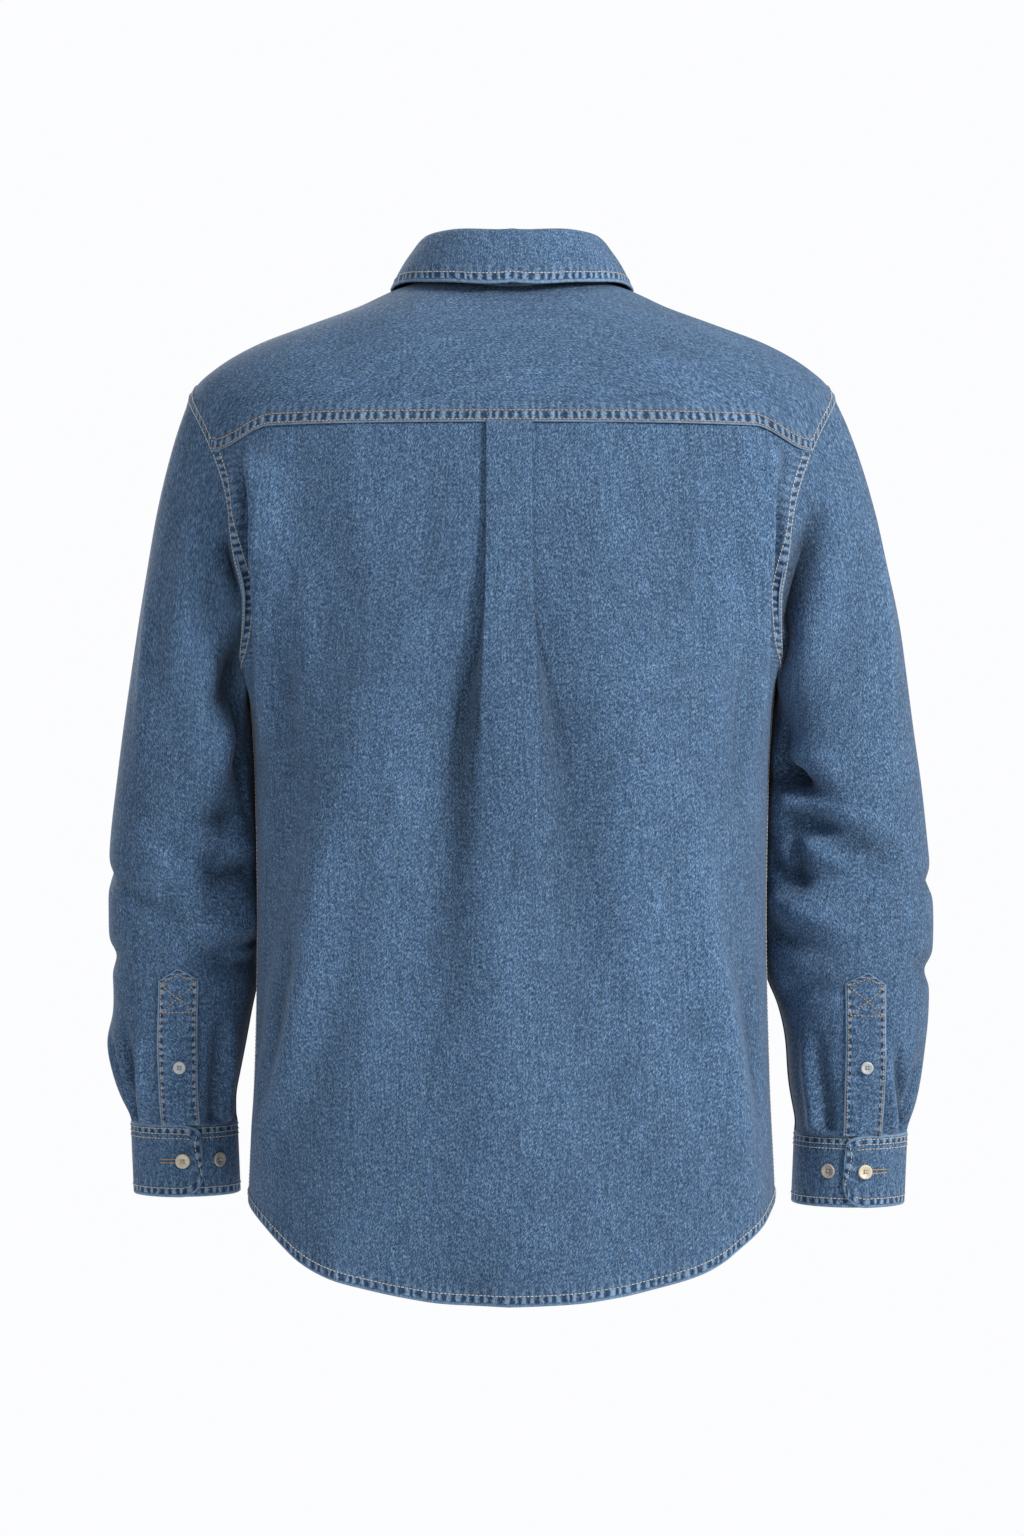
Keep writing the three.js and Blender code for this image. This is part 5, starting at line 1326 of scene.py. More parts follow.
def finish_threads():
    size = len(CAPSULE)
    for group, parts in threads.items():
        verts = np.concatenate(parts)
        starts = range(0, len(verts), size)
        faces = [tuple(i + start for i in face) for start in starts for face in CAPSULE_FACES]
        obj = add_mesh("stitches_" + group, verts, faces, TAN if "tan" in group else PALE_THREAD)
        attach(obj, "root")


# Build the torso

back, back_arm_rows = back_cloth()
yoke, yoke_seam_cols = yoke_cloth()
fronts = {1: front_cloth(1), -1: front_cloth(-1)}
front_left, front_right = fronts[1][0], fronts[-1][0]
sleeves = {side.name: side.cloth() for side in (LEFT, RIGHT)}



def fold_table(rows):
    """Folds, one a line: the view, the width of each flank, then x, y and height at each place. The
    places are in the photograph's pixels, or for "outer" in millimetres back and up."""
    folds = []
    for view, *numbers in (row.split() for row in rows.strip().splitlines() if "#" not in row):
        near, far, *places = map(float, numbers)
        folds.append((view, near, far, list(zip(places[::3], places[1::3], places[2::3]))))
    return folds


# Folds on the body

BODY_FOLDS = fold_table(
    """
    # soft ridges and facets down the back
    seen 22 14  322 800 0  319 880 3  310 947 4.5  298 1013 5  281 1084 4  264 1140 1
    seen 12 12  300 900 0  288 960 -3  276 1030 -4  266 1090 -2  258 1140 0
    seen 12 22  700 800 0  704 880 2.5  714 962 4  726 1023 4.5  741 1094 3.5  747 1166 1
    seen 10 10  738 930 0  746 1000 -2.5  756 1070 -3  760 1120 0
    # long troughs and swells beside the pleat
    seen 16 22  470 640 0  466 720 -2.5  456 820 -3  448 940 -2  440 1060 0
    seen 22 16  548 640 0  556 740 -2.5  566 860 -3.2  574 980 -2.2  580 1100 0
    seen 26 26  400 600 0  396 740 1.8  384 900 2.2  372 1060 1.6  364 1180 0
    seen 26 26  620 600 0  628 740 1.8  640 900 2.4  650 1060 1.8  656 1180 0
    seen 24 24  500 860 0  504 980 1.8  508 1100 1.6  510 1200 0
    # the back swells past the armhole seams, over a deep groove
    seen 22 5  247 452 0  254 476 4.5  258 505 7  261 545 8.5  263 590 8  263 640 6  263 700 3.4  263 760 0
    seen 4 5  237 450 0  241 468 -4  244 490 -5.5  245 520 -5  246 560 -4  248 600 -2  250 640 0
    seen 5 22  777 446 0  772 466 4  766 500 6.5  763 540 8  761 590 7.5  761 640 5.6  761 700 3  761 760 0
    seen 5 4  788 448 0  784 468 -3  779 496 -4.5  777 530 -4.4  775 570 -3  774 620 0
    # drag lines from the underarms
    seen 9 14  262 560 0  276 610 -2.4  286 680 -2.6  290 760 -1.4  292 830 0
    seen 14 9  762 560 0  750 610 -2.2  742 690 -2.4  738 780 -1.2  736 850 0
    seen 10 10  300 520 0  306 600 1.4  310 690 1.2  312 780 0
    seen 10 10  724 520 0  720 600 1.4  716 690 1.2  714 780 0
    # just under the yoke
    seen 14 14  360 440 0.8  362 520 1.4  366 620 0
    seen 14 14  600 436 0.8  602 520 1.4  606 620 0
    seen 12 12  430 440 -0.6  428 520 -1.3  424 620 0
    seen 12 12  672 440 -0.6  676 520 -1.2  680 620 0
    # hem swells
    seen 18 18  330 1180 0  336 1240 1.6  340 1280 2
    seen 18 18  470 1200 0  474 1270 -1.4  476 1300 -1.8
    seen 18 18  620 1200 0  624 1270 1.4  626 1300 1.8
    # the hidden front, in the same manner
    hidden 18 18  300 600 0  320 720 -2.6  330 860 -3  334 1000 0
    hidden 18 18  724 600 0  706 720 -2.4  696 860 -2.8  690 1000 0
    hidden 24 24  380 700 0  372 860 2.6  362 1020 3  352 1160 1
    hidden 24 24  644 700 0  654 860 2.4  664 1020 3  672 1160 1
    hidden 14 14  290 900 0  280 980 3.4  272 1060 3  268 1120 0
    hidden 14 14  734 900 0  742 980 3.2  752 1060 3  756 1120 0
    hidden 10 14  262 570 0  282 640 -2.6  296 720 -2  304 790 0
    hidden 14 10  762 570 0  742 640 -2.6  728 720 -2  720 790 0
    """
)
# the yoke's own: the shoulders' slight hollows and the strain towards the armholes
YOKE_FOLDS = fold_table(
    """
    seen 20 20  250 372 0  330 392 0.9  420 400 0
    seen 20 20  780 372 0  700 388 0.9  610 398 0
    seen 16 16  400 320 0  340 350 -0.9  280 388 0
    seen 16 16  624 320 0  690 350 -0.9  748 388 0
    """
)


def lay(cloth, folds, depth=1.7, normals=None, keep=1.0):
    """Raises a cloth by its folds. Crests are rubbed paler, and troughs are darkened with painted shade."""
    normals = cloth.n if normals is None else normals
    height = hand_folds(cloth.p, normals, folds) * depth * keep
    cloth.p = cloth.p + normals * height[..., None]
    # painted shade in the troughs, up to 0.48 darker; worn crests up to 0.16 paler
    cloth.tone = cloth.tone + np.clip(0.042 * height, -0.48, 0.16)


seen = [f for f in BODY_FOLDS if f[0] == "seen"]
hidden = [f for f in BODY_FOLDS if f[0] == "hidden"]
middle = back.p.shape[1] // 2
lay(back, seen, normals=torso_normal(torso_point(back.p[..., 2], around_of(back.p))))
lay(yoke, YOKE_FOLDS)
for cloth in (front_left, front_right):
    lay(cloth, hidden)
# painted shade on the pleat's sides, deepest near the top where they fold tight under the box
from_middle = np.abs(np.arange(back.p.shape[1]) - middle)
under_box_shade = ((from_middle > 9) & (from_middle < PHASES))[None] * smooth((back.p[..., 2] + 470) / 260)
back.tone = back.tone - 0.42 * under_box_shade

# Folds on the sleeves

LEFT_FOLDS = fold_table(
    """
    seen 6 14  226 640 0  238 690 -5  248 745 -7  255 800 -5  258 840 -2
    seen 14 20  196 590 0  208 680 2.2  220 760 2.6  232 812 1.4
    seen 6 9  224 530 0  231 548 -6  238 568 -8  243 592 -3
    seen 12 10  246 632 -3  238 664 -6  226 692 -5  206 726 0
    seen 10 16  252 700 1  236 730 2.6  214 770 2  190 800 0
    seen 7 10  262 806 -3  236 814 -4.5  206 820 -3  178 826 0
    seen 12 9  262 836 3  236 842 3  206 848 1.4  180 850 0
    seen 6 8  264 864 -7  244 871 -7  222 880 -3  196 892 0
    seen 14 9  262 906 4  240 914 4.5  212 926 2.4  180 938 0
    seen 12 4  262 940 4  250 946 5  236 951 3  220 956 0
    seen 5 7  256 962 -4  240 966 -4  222 972 -1.5  208 980 0
    seen 9 9  126 820 0  150 850 1.8  180 868 1.4  204 872 0
    seen 8 8  118 880 0  140 904 -2  166 918 -1.6  186 920 0
    seen 10 10  150 560 0  146 640 1.4  142 720 1.2  138 800 0
    seen 12 12  200 480 0  190 560 1.8  178 640 1.6  166 720 0
    seen 5 5  134 1118 -4  131 1085 -4.5  127 1050 -3  124 1015 0
    seen 5 5  144 1120 2.4  142 1085 2.6  139 1050 1.6  136 1020 0
    seen 5 5  214 1118 -3  214 1085 -3  218 1050 -2  222 1010 0
    seen 6 6  228 1114 2.4  230 1080 2.6  232 1040 1.8  234 1005 0
    outer 8 8  -60 -430 0  -30 -445 -2.6  0 -452 -2  20 -450 0
    outer 9 9  -70 -500 0  -40 -512 -3  -10 -508 -2.4  14 -500 0
    outer 6 6  -60 -636 -3  -58 -605 -3.4  -54 -575 0
    hidden 9 9  256 800 -3  226 812 -4  190 818 -2  160 820 0
    hidden 8 8  258 866 -4  230 876 -5  196 884 -3  160 884 0
    hidden 12 9  256 906 3  226 914 3.4  190 920 1.6  160 920 0
    hidden 6 6  190 1118 -3  192 1080 -3.4  196 1040 0
    hidden 6 6  160 1118 2.6  160 1080 2.6  158 1040 0
    """
)
RIGHT_FOLDS = fold_table(
    """
    seen 10 5  776 640 -3  775 680 -4  778 730 -5  780 770 -5
    seen 6 9  770 780 -6  786 779 -8  798 778 -5  808 776 0
    seen 9 9  790 824 -2  792 850 -4.5  796 872 -4  806 896 0
    seen 11 8  815 520 -3  803 552 -7  789 590 -8  777 632 -8  772 676 -5  772 712 0
    seen 12 12  842 540 0  828 590 2.4  812 640 2.6  800 700 0
    seen 8 8  768 766 -5  784 774 -7.5  802 786 -6  824 796 -2  846 800 0
    seen 9 12  766 742 2.4  790 748 3  820 760 2  850 770 0
    seen 6 8  796 816 -2  816 824 -3.4  842 832 -3.2  868 836 0
    seen 6 8  826 846 -1  848 850 -3  872 850 -2.6  900 846 0
    seen 9 9  790 802 2  820 808 3  852 816 2.2  884 820 0
    seen 9 9  790 836 2.4  812 842 2.6  840 866 1.6  872 876 0
    seen 7 8  766 848 -4  776 858 -5  788 876 -4  806 892 0
    seen 10 10  776 900 2  800 912 2.8  830 920 2  862 924 0
    seen 8 8  772 934 -2.6  794 944 -3  820 952 -1.6  842 954 0
    seen 12 12  870 500 0  884 580 1.6  892 660 1.4  896 740 0
    seen 5 5  903 1126 -4  901 1100 -4  898 1066 -2.6  896 1034 0
    seen 5 5  893 1126 2.4  891 1096 2.4  888 1060 1.4  886 1034 0
    seen 5 5  828 1126 -3  826 1096 -3  820 1060 -1.8  816 1026 0
    seen 6 6  814 1124 2.4  810 1090 2.4  806 1050 1.6  804 1020 0
    outer 8 8  -60 -440 0  -30 -452 -2.6  0 -456 -2  20 -452 0
    outer 9 9  -70 -510 0  -40 -522 -3  -10 -518 -2.4  14 -510 0
    outer 6 6  -60 -644 -3  -58 -612 -3.4  -54 -582 0
    hidden 9 9  768 770 -3  798 784 -4  834 792 -2  864 794 0
    hidden 8 8  768 856 -4  796 866 -5  830 872 -3  866 872 0
    hidden 12 9  770 900 3  800 908 3.4  836 914 1.6  866 914 0
    hidden 6 6  840 1126 -3  838 1088 -3.4  834 1048 0
    hidden 6 6  870 1126 2.6  870 1088 2.6  872 1048 0
    """
)

for side, folds in ((LEFT, LEFT_FOLDS), (RIGHT, RIGHT_FOLDS)):
    cloth = sleeves[side.name]
    ends = (smooth(side.rings / 1.2) * smooth((side.last - side.rings) / 0.5))[:, None]
    # where a sleeve faces the body its folds are flattened, and painted shade darkens it
    facing_body_shade = smooth((-cloth.n[..., 0] * side.mirror - 0.6) / 0.35)
    facing_body_shade = facing_body_shade * smooth((0.5 - cloth.n[..., 1]) / 0.3)
    lay(cloth, folds, 2.1, keep=ends * (1 - 0.85 * facing_body_shade))
    cloth.tone = cloth.tone - 0.3 * facing_body_shade
    off = cloth.p * np.array([side.mirror, 1, 1])
    off = side.clear(off, np.broadcast_to(side.rings[:, None], off.shape[:2]))
    cloth.p = off * np.array([side.mirror, 1, 1])

# Seams: which edge lies over which

ARM_BAND, SIDE_BAND, SHOULDER_BAND, HEM_BAND = 11.0, 8.0, 7.0, 7.5  # widths of the stitched bands
ARM_STITCHES, SIDE_STITCHES = (1.8, 9.2), (1.6, 7.0)  # rows of stitches, from the edge
YOKE_STITCHES, SHOULDER_STITCHES = (1.6, 8.2), (1.6, 6.0)
HEM_STITCHES = 7.0
upper = np.broadcast_to((np.arange(back.p.shape[0]) < back_arm_rows)[:, None], back.p.shape[:2])
for border in ("first", "last"):
    back.seam(border, ARM_BAND, 0.9, where=upper)
    back.seam(border, SIDE_BAND, 0.5, where=~upper)
back.seam("top", sink=0.9, marked=False)
back.seam("bottom", HEM_BAND, 0.7)

cols = yoke.p.shape[1]
mid = cols // 2
on_seam = np.broadcast_to(np.abs(np.arange(cols) - mid) < yoke_seam_cols, yoke.p.shape[:2])
yoke.seam("bottom", 8.5, 0.9, where=on_seam)
yoke.seam("bottom", ARM_BAND, 0.9, where=~on_seam)
yoke.seam("first", SHOULDER_BAND, 0.5)
yoke.seam("last", SHOULDER_BAND, 0.5)

for cloth, seam_rows, rows in fronts.values():
    row = np.arange(cloth.p.shape[0])
    on_shoulder = np.broadcast_to((row < seam_rows)[:, None], cloth.p.shape[:2])
    on_arm = np.broadcast_to(((row >= seam_rows) & (row < rows))[:, None], cloth.p.shape[:2])
    on_side = np.broadcast_to((row >= rows)[:, None], cloth.p.shape[:2])
    cloth.seam("last", SHOULDER_BAND, sink=0.6, where=on_shoulder, marked=False)
    cloth.seam("last", ARM_BAND, 0.9, where=on_arm)
    cloth.seam("last", SIDE_BAND, sink=0.5, where=on_side, marked=False)
    cloth.seam("bottom", HEM_BAND, 0.7)

for side in (LEFT, RIGHT):
    cloth = sleeves[side.name]
    cloth.seam("first", SIDE_BAND, 0.4)
    cloth.seam("last", SIDE_BAND, sink=0.4, marked=False)

# Stitching

arm_end = (back_arm_rows - 1) / (back.p.shape[0] - 1)
for border in ("first", "last"):
    for gap in ARM_STITCHES:
        stitch("pale_armholes_back", *back.line(border, gap, 0.01, arm_end))
    for gap in SIDE_STITCHES:
        stitch("pale_sides", *back.line(border, gap, arm_end + 0.01, 0.99))
stitch("pale_hem_back", *back.line("bottom", HEM_STITCHES, 0.01, 0.99))
first = (mid - yoke_seam_cols + 3) / (cols - 1)
last = (mid + yoke_seam_cols - 3) / (cols - 1)
for gap in YOKE_STITCHES:
    stitch("tan_yoke", *yoke.line("bottom", gap, first, last))
for a, b in ((0.004, first - 0.004), (last + 0.004, 0.996)):
    for gap in ARM_STITCHES:
        stitch("pale_armholes_yoke", *yoke.line("bottom", gap, a, b))
for border in ("first", "last"):
    for gap in SHOULDER_STITCHES:
        stitch("pale_shoulders", *yoke.line(border, gap, 0.06, 0.97))
for cloth, seam_rows, rows in fronts.values():
    total = cloth.p.shape[0] - 1
    ends = (seam_rows + 1) / total, (rows - 1) / total
    for gap in ARM_STITCHES:
        stitch("pale_armholes_front", *cloth.line("last", gap, *ends))
    stitch("pale_hem_front", *cloth.line("bottom", HEM_STITCHES, 0.06, 0.99))

# Rolled edges, last of all since they add rows

back.roll("bottom", 0.8, 7.5)
back.roll("first", 0.5, 5)
back.roll("last", 0.5, 5)
yoke.roll("bottom", 0.5, 5)
yoke.roll("first", 0.5, 4)
yoke.roll("last", 0.5, 4)
for cloth in (front_left, front_right):
    cloth.roll("bottom", 0.8, 7.5)
    cloth.roll("first", 0.6, 6)
    cloth.roll("last", 0.4, 4)


def piece(name, cloth, material, node, weld=False):
    obj = grid_mesh(name, cloth, material, weld)
    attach(obj, "root")
    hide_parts(node)


piece("cloth_yoke", yoke, DENIM_YOKE, "yoke")
piece("cloth_back", back, DENIM, "back_panel")
piece("cloth_front_left", front_left, DENIM, "front_left")
piece("cloth_front_right", front_right, DENIM, "front_right")
for side in (LEFT, RIGHT):
    node = "sleeve_" + side.name
    piece("cloth_" + node, sleeves[side.name], DENIM, node)

# Front placket, on the left front

PLACKET_LIFT = 1.9
placket_front = front_cloth(1)[0]
lay(placket_front, hidden)
fine = np.linspace(0, 4, 25)
rows_index = np.arange(placket_front.p.shape[0], dtype=float)
grid_r, grid_c = np.meshgrid(rows_index, fine, indexing="ij")
pp, pn = bilinear(placket_front.p, grid_r, grid_c), unit(bilinear(placket_front.n, grid_r, grid_c))
placket = Cloth(pp + pn * PLACKET_LIFT, pn, bilinear(placket_front.uv, grid_r, grid_c))
placket.seam("first", 5, 0.3)
placket.seam("last", 5, 0.3)
for border in ("first", "last"):
    stitch("pale_placket", *placket.line(border, 5.2, 0.02, 0.985))
PLACKET_SURFACE = (placket.p.copy(), placket.n.copy())
placket.roll("first", 0.7, 4)
placket.roll("last", 0.7, 4)
placket.roll("bottom", 0.7, 4)
piece(
    "cloth_front_placket", placket, DENIM_WORN, "front_placket",
)


# Double cloths: collar stand, collar fall and cuffs, each one grid that runs round both sides


def double(p, n, thick):
    """Both sides of a double cloth and its rounded top and bottom edges, as one grid."""
    r = thick / 2
    down = unit(p[-1] - p[-2])
    up = unit(p[0] - p[1])
    inner = p - n * thick
    turn = np.linspace(0, np.pi, RIM_ROWS + 2)[1:-1]
    bottom = [p[-1] - n[-1] * r + n[-1] * r * math.cos(t) + down * r * math.sin(t) for t in turn]
    bottom_n = [n[-1] * math.cos(t) + down * math.sin(t) for t in turn]
    top = [p[0] - n[0] * r - n[0] * r * math.cos(t) + up * r * math.sin(t) for t in turn]
    top_n = [-n[0] * math.cos(t) + up * math.sin(t) for t in turn]
    rows_p = np.concatenate([p, bottom, inner[::-1], top, p[:1]])
    rows_n = np.concatenate([n, bottom_n, -n[::-1], top_n, n[:1]])
    length = np.concatenate([[0], np.cumsum(np.linalg.norm(np.diff(rows_p, axis=0), axis=-1).mean(1))])
    u = lengths(p[len(p) // 2])
    grid_u = np.broadcast_to(u, rows_p.shape[:2])
    grid_v = np.broadcast_to(-length[:, None], rows_p.shape[:2])
    return Cloth(rows_p, rows_n, np.stack([grid_u, grid_v], -1))


def close_ends(cloth, thick, outer_rows):
    """Adds columns that bring both sides of a double cloth together at each end."""
    for border in ("first", "last"):
        p, n, uv = (cloth.turned(border, v) for v in (cloth.p, cloth.n, cloth.uv))
        centre = p[0].copy()
        count = len(centre)
        partner = (outer_rows - 1 + (outer_rows + RIM_ROWS) - np.arange(count)) % (count - 1)
        middle_line = (centre + centre[partner]) / 2
        out = unit(p[0] - p[1])
        out = unit(out + out[partner])
        columns, normals = [], []
        for t in (0.5, 1.0):
            w = math.sin(t * math.pi / 2)
            columns.append(mix(middle_line, centre, math.cos(t * math.pi / 2)) + out * w * thick * 0.3)
            normals.append(unit(mix(out, n[0], 1 - t) + 1e-6))
        cloth.add_rows(border, columns, normals, [uv[0], uv[0]])


def mark_edges(cloth, rows, borders, band=7.0):
    """Seam marks for the outer side of a double cloth, from its first rows."""
    outer = Cloth(cloth.p[:rows], cloth.n[:rows], cloth.uv[:rows])
    for border in borders:
        outer.seam(border, band)
    full = cloth.p.shape[0]
    inner_rows = np.clip(2 * rows + RIM_ROWS - 1 - np.arange(full), 0, rows - 1)
    pick = np.where(np.arange(full) < rows, np.arange(full), inner_rows)
    cloth.edge, cloth.run, cloth.band = outer.edge[pick], outer.run[pick], outer.band[pick]
    return outer


def double_piece(name, p, n, thick, material, node, borders, band=7.0):
    cloth = double(p, n, thick)
    outer = mark_edges(cloth, len(p), borders, band)
    close_ends(cloth, thick, len(p))
    piece(name, cloth, material, node, weld=True)
    return outer


stand_p, stand_n, stand_angles = stand_grid()
stand_outer = double_piece(
    "cloth_collar_stand", stand_p, stand_n, DOUBLE_CLOTH, DENIM_WORN, "collar_stand",
    ("top", "bottom", "first", "last"), 5,
)
stitch("pale_stand", *stand_outer.line("bottom", 2.0, 0.01, 0.99))

fall_p, fall_n = fall_grid()
# the leaf's edge waves a little where its stitching draws it in
length = lengths(fall_p[-1])
to_edge = np.linalg.norm(fall_p - fall_p[-1:], axis=-1)
wave = 0.35 * np.sin(length / 1.35) * np.sin(length / 9.7 + 1.3) + 0.5 * np.sin(length / 21.0)
fall_p = fall_p + fall_n * (wave[None] * np.exp(-to_edge / 7))[..., None]
fall_outer = double_piece(
    "cloth_collar_fall", fall_p, fall_n, DOUBLE_CLOTH, DENIM_WORN, "collar_fall",
    ("bottom", "first", "last"), 7.5,
)
stitch("pale_collar", *fall_outer.line("bottom", 7.0, 0.02, 0.98))
for border in ("first", "last"):
    stitch("pale_collar", *fall_outer.line(border, 7.0, 0.3, 0.9))

# Cuffs


CUFF_CORNER = 17  # radius of the corner at the cuff's end


def cuff_place(side, angle, v):
    """Outer points and normals of a cuff, at an angle and a share of its height."""
    last = {key: values[-1] for key, values in side.rows.items()}
    over = 360 + side.over_end
    angle, v = np.broadcast_arrays(np.asarray(angle, float), np.asarray(v, float))
    half = (last["outX"] - last["inX"]) / 2
    from_end = np.radians(over - angle) * half
    corner = np.clip(1 - from_end / CUFF_CORNER, 0, 1)
    cut = CUFF_CORNER * (1 - np.sqrt(1 - corner**2))
    top_cut = 0.45 * cut
    z = last["outZ"] - 0.3 - top_cut - (CUFF_HEIGHT - top_cut - cut) * v
    lap_in = -1.5 * (1 - smooth((angle - 120) / 40))
    lap_out = 1.5 * smooth((angle - 360) / 30)
    shift = lap_in + lap_out + DOUBLE_CLOTH / 2 - 0.5
    c, s = np.cos(np.radians(angle)), np.sin(np.radians(angle))
    x = (last["outX"] + last["inX"]) / 2 - 2 * v + (half + shift) * c
    y = last["midY"] - 3 * v + (last["depth"] + shift) * s
    return np.stack([side.mirror * x, y, z], -1), np.stack([side.mirror * c, s, 0 * x], -1)


def cuff_piece(side):
    over = 360 + side.over_end
    angles = np.concatenate([np.linspace(60, over - 24, 150), np.linspace(over - 24, over, 26)[1:]])
    vs = np.linspace(0, 1, 28)
    p, n = cuff_place(side, angles[None], vs[:, None])
    outer = double_piece(
        "cloth_cuff_" + side.name, p, n, DOUBLE_CLOTH, DENIM_WORN, "cuff_" + side.name,
        ("top", "bottom", "last"), 7.0,
    )
    for gap in (2.0, 6.0, 9.6):
        stitch("pale_cuffs", *outer.line("top", gap, 0.02, 0.93))
    stitch("pale_cuffs", *outer.line("bottom", 6.0, 0.02, 0.93))
    stitch("pale_cuffs", *outer.line("last", 5.0, 0.12, 0.88))


for side in (LEFT, RIGHT):
    cuff_piece(side)

# Sleeve plackets

PLACKET_TOP = 12.55  # ring of the sleeve where the point starts
PLACKET_POINT = 0.36  # rings that the point takes
PLACKET_HALF = 12.5


def sleeve_placket(side):
    cloth = sleeves[side.name]
    last = side.last - 0.1
    shoulder = PLACKET_TOP + PLACKET_POINT
    rings = np.concatenate([np.linspace(PLACKET_TOP, shoulder, 8)[:-1], np.linspace(shoulder, last, 60)])
    widths = PLACKET_HALF * np.clip((rings - PLACKET_TOP) / PLACKET_POINT, 0.06, 1)
    across = np.linspace(-1, 1, 19)
    radius = (side.at["outX"](rings) - side.at["inX"](rings) + 2 * side.at["depth"](rings)) / 4
    angle = side.placket_angle(rings)[:, None] + np.degrees(widths[:, None] * across / radius[:, None])
    turned = np.where(angle < 180, angle + 360, angle)
    col = (turned - 180) / (side.angles[1] - side.angles[0])
    row = np.interp(rings, side.rings, np.arange(len(side.rings)))[:, None] + 0 * col
    p = bilinear(cloth.p, row, col)
    n = unit(bilinear(cloth.n, row, col))
    u = np.broadcast_to(across * PLACKET_HALF, col.shape)
    v = -lengths(p[:, 9])
    strip = Cloth(p + n * 1.6, n, np.stack([u, np.broadcast_to(v[:, None], col.shape)], -1))
    strip.seam("first", 4.5, 0.0)
    strip.seam("last", 4.5, 0.0)
    group = "tan_placket_" + side.name
    for border in ("first", "last"):
        stitch(group, *strip.line(border, 1.8, 0.11, 0.995), pitch=2.7, length=1.9)
    # the box, its point and the cross inside it
    low, high, peak = (float(np.interp(mm, -v, np.arange(len(v)))) for mm in (33, 11.5, 3.4))

    def on_strip(places):
        spots = np.array(places, float)
        r, c = np.concatenate([np.linspace(a, b, 16) for a, b in zip(spots, spots[1:])]).T
        return bilinear(strip.p, r, c), unit(bilinear(strip.n, r, c))

    for path in (
        [(low, 1.6), (low, 16.4)],
        [(high, 1.6), (low, 16.4)],
        [(high, 16.4), (low, 1.6)],
        [(high - 0.5, 1.6), (peak, 9), (high - 0.5, 16.4)],
    ):
        stitch(group, *on_strip(path), pitch=2.5, length=1.8)
    surface = (strip.p.copy(), strip.n.copy())
    strip.roll("first", 0.6, 2.5)
    strip.roll("last", 0.6, 2.5)
    piece(
        "cloth_placket_" + side.name, strip, DENIM_WORN,
        "sleeve_placket_" + side.name,
    )
    return surface


strips = {side.name: sleeve_placket(side) for side in (LEFT, RIGHT)}

# Buttons


HOLE_OFFSET = 1.35


def button_mesh(name, radius, material):
    bm = bmesh.new()
    rim, dish = 2.4, 1.7
    inner = radius - 2.2
    hole = 0.72

    def circle(r, z, x=0.0, y=0.0, n=40):
        turns = [2 * math.pi * i / n for i in range(n)]
        return [bm.verts.new((x + r * math.cos(t), y + r * math.sin(t), z)) for t in turns]

    def band(a, b):
        for i in range(len(a)):
            bm.faces.new((a[i], a[(i + 1) % len(a)], b[(i + 1) % len(b)], b[i]))

    profile = [
        (radius - 0.9, 0.0), (radius - 0.25, 0.25), (radius, 0.8), (radius - 0.05, 1.6),
        (radius - 0.4, rim - 0.15), (radius - 0.9, rim), (radius - 1.4, rim - 0.12), (inner, dish),
    ]
    rings = [circle(r, z) for r, z in profile]
    for a, b in zip(rings, rings[1:]):
        band(a, b)
    bm.faces.new(list(reversed(rings[0])))
    loops = []
    for x, y in ((HOLE_OFFSET, 0), (0, HOLE_OFFSET), (-HOLE_OFFSET, 0), (0, -HOLE_OFFSET)):
        top = circle(hole, dish, x, y, 12)
        low = circle(hole * 0.9, 0.4, x, y, 12)
        band(low, top)
        bm.faces.new(low)
        loops.append(top)
    edges = []
    for loop in [rings[-1], *loops]:
        edges += [bm.edges.get((loop[i - 1], loop[i])) for i in range(len(loop))]
    bmesh.ops.triangle_fill(bm, use_beauty=True, edges=edges)
    bmesh.ops.recalc_face_normals(bm, faces=bm.faces)
    bmesh.ops.scale(bm, vec=(0.001,) * 3, verts=bm.verts)
    mesh = bpy.data.meshes.new(name)
    bm.to_mesh(mesh)
    bm.free()
    for face in mesh.polygons:
        face.use_smooth = True
    mesh.materials.append(material)
    return new_object(name, mesh)


def place_button(node, point, normal, material, radius=5.6):
    z = Vector(unit(normal))
    up = Vector((0, 0, 1))
    x = up.cross(z).normalized()
    y = z.cross(x)
    basis = Matrix((x, y, z)).transposed() @ Matrix.Rotation(math.radians(45), 3, "Z")
    obj = button_mesh("trim_" + node, radius, material)
    place = Vector(point) * 0.001
    obj.matrix_world = Matrix.Translation(place) @ basis.to_4x4()
    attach(obj, "root")
    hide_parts(node)
    # thread through the holes
    basis_n = np.array(basis)
    for x, y in ((HOLE_OFFSET, 0), (0, HOLE_OFFSET)):
        ends = [np.asarray(point) + basis_n @ np.array([s * x, s * y, 1.8]) for s in (1, -1)]
        line = np.linspace(*ends, 5)
        facing = np.broadcast_to(np.array(z), line.shape)
        stitch("pale_buttons", line, facing, pitch=2.6, length=2.9, radius=0.34, lift=0.1)


def on_surface(surface, z, col):
    """Point and normal of a strip at a level and a column."""
    p, n = surface
    row = np.array([np.interp(-z, -p[:, int(col), 2], np.arange(len(p)))])
    return [bilinear(grid, row, np.array([col]))[0] for grid in (p, n)]


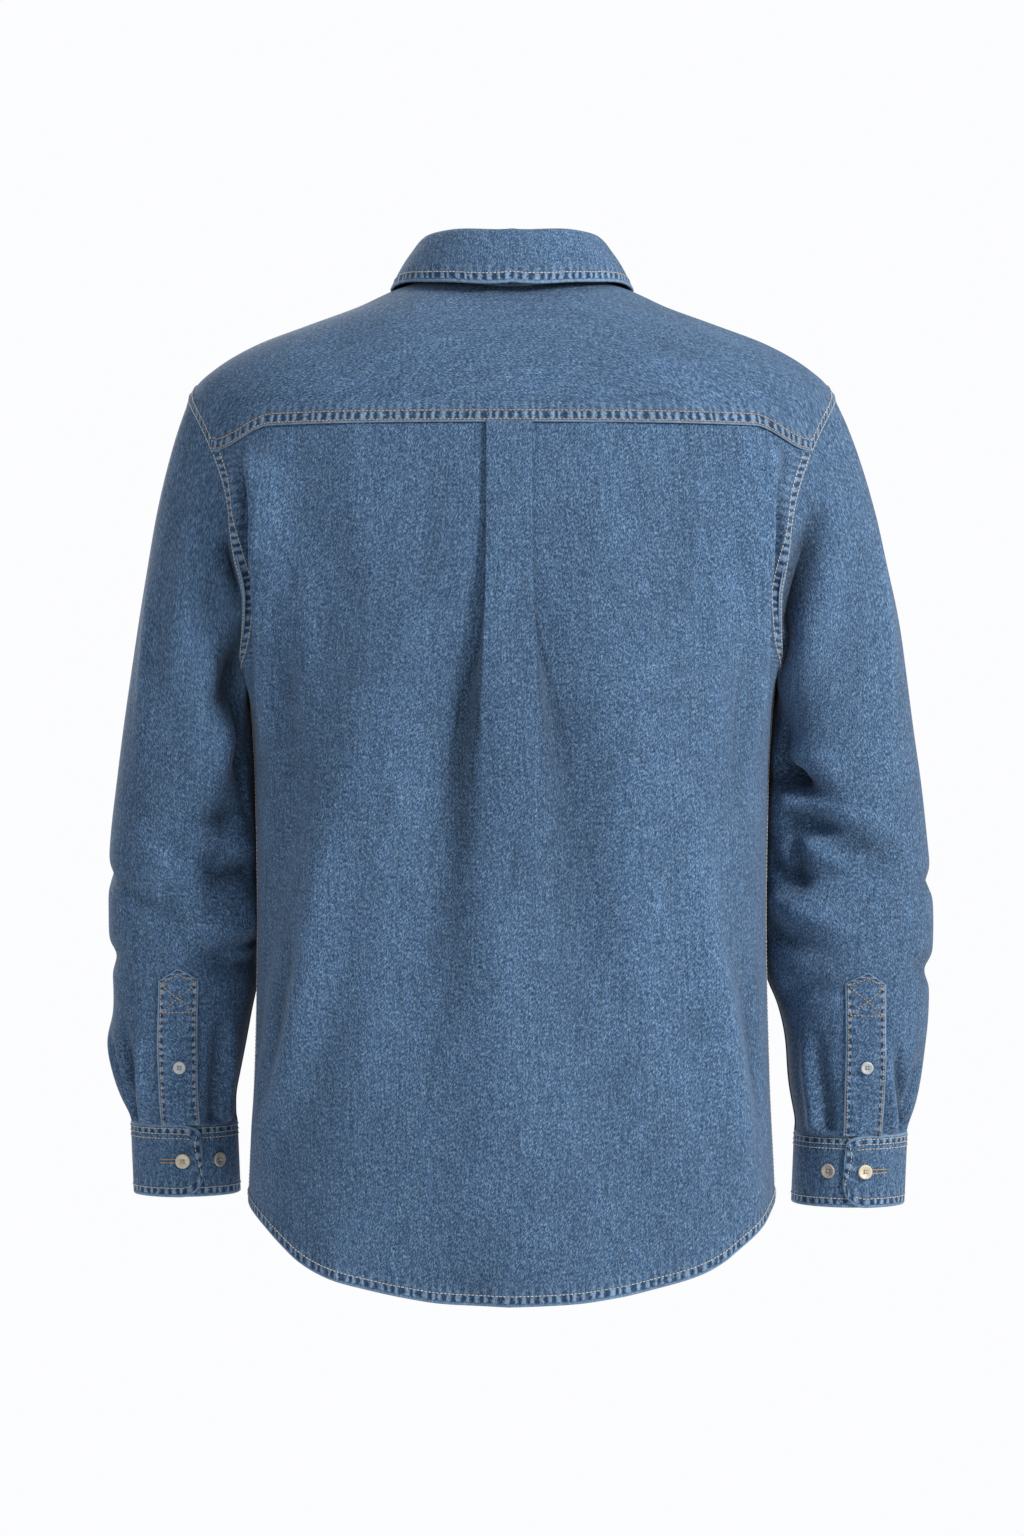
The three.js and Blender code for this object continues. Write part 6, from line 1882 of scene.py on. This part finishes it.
FIRST_BUTTON_Z, BUTTON_STEP = -138, 88
SLEEVE_BUTTON_Z = -592
for i in range(6):
    at, n = on_surface(PLACKET_SURFACE, FIRST_BUTTON_Z - BUTTON_STEP * i, 12.0)
    place_button(f"front_button_{i + 1}", at + n * 0.3, n, CREAM)
mid_col = int(np.argmin(np.abs(stand_angles - 180)))
at, n = stand_p[7, mid_col], stand_n[7, mid_col]
place_button("stand_button", at + n * 0.4, n, CREAM, 5.2)
for side in (LEFT, RIGHT):
    at, n = on_surface(strips[side.name], SLEEVE_BUTTON_Z, 9.0)
    place_button("sleeve_button_" + side.name, at + n * 0.3, n, SILVER, 4.9)
    for i, turn in enumerate(side.button_turns):
        goal = side.over_end + turn + (360 if turn < 0 else 0)
        at, n = cuff_place(side, goal, 0.5)
        place_button(f"cuff_button_{side.name}_{i + 1}", at + n * 0.3, n, CREAM if i == 0 else TAUPE)
    # the buttonhole runs from the fastened button towards the back of the cuff
    hole = side.over_end + side.button_turns[0] + 360 - np.linspace(2, 24, 12)
    for v in (0.475, 0.525):
        at, n = cuff_place(side, hole, v)
        stitch("tan_buttonholes", at, n, pitch=1.1, length=1.5, radius=0.5)

finish_threads()

# Light and surroundings

scene = bpy.context.scene
scene.view_settings.view_transform = "Standard"
PAPER_WHITE = (0.985, 0.988, 1.0, 1)
world = bpy.data.worlds.new("studio")
scene.world = world
world.use_nodes = True
nodes, links = world.node_tree.nodes, world.node_tree.links
seen_white, ambient = nodes["Background"], nodes.new("ShaderNodeBackground")
seen_white.inputs[0].default_value = PAPER_WHITE
seen_white.inputs[1].default_value = 0.99
ambient.inputs[0].default_value = (0.93, 0.97, 1.0, 1)
ambient.inputs[1].default_value = 0.44
rays, split = nodes.new("ShaderNodeLightPath"), nodes.new("ShaderNodeMixShader")
links.new(rays.outputs["Is Camera Ray"], split.inputs[0])
links.new(ambient.outputs[0], split.inputs[1])
links.new(seen_white.outputs[0], split.inputs[2])
links.new(split.outputs[0], nodes["World Output"].inputs[0])


def area_light(name, place, aim, power, size, colour=(1, 1, 1)):
    data = bpy.data.lights.new(name, "AREA")
    data.energy, data.size, data.color = power, size, colour
    obj = new_object(name, data)
    obj.location = place
    obj.rotation_euler = (Vector(aim) - Vector(place)).to_track_quat("-Z", "Y").to_euler()


area_light("key", (-2.1, 1.7, 0.9), (0, 0, -0.35), 84, 0.7, (1.0, 0.99, 0.97))
area_light("fill", (2.4, 2.2, 0.4), (0, 0, -0.4), 12, 1.6, (0.92, 0.96, 1.0))
area_light("top", (-0.4, 0.5, 2.0), (0, 0, -0.2), 9, 1.4)
area_light("front", (1.6, -2.6, 0.8), (0, 0, -0.35), 60, 1.4)

floor_mesh = bpy.data.meshes.new("floor")
bm = bmesh.new()
bmesh.ops.create_circle(bm, cap_ends=True, segments=96, radius=1.7)
bm.to_mesh(floor_mesh)
bm.free()
floor = new_object("floor", floor_mesh)
floor.location = (0, 0, -1.45)
k = Nodes("floor_pale")
place = k.node("ShaderNodeTexCoord").outputs["Object"]
radius = k.node("ShaderNodeVectorMath", operation="LENGTH")
k.link(place, radius.inputs[0])
fade = k.ramp(radius.outputs["Value"], 0.7, 1.65)
grain = k.noise(place, 3.0, 2, 0.5)
k.link(k.ramp(grain, 0.0, 1.0, 0.86, 0.9), k.shader.inputs["Base Color"])
k.shader.inputs["Roughness"].default_value = 0.8
glow = k.fed(k.node("ShaderNodeEmission"), {0: PAPER_WHITE, 1: 0.97})
joined = k.fed(k.node("ShaderNodeMixShader"), {0: fade, 1: k.shader.outputs[0], 2: glow.outputs[0]})
k.link(joined.outputs[0], k.tree.nodes["Material Output"].inputs["Surface"])
floor_mesh.materials.append(k.material)
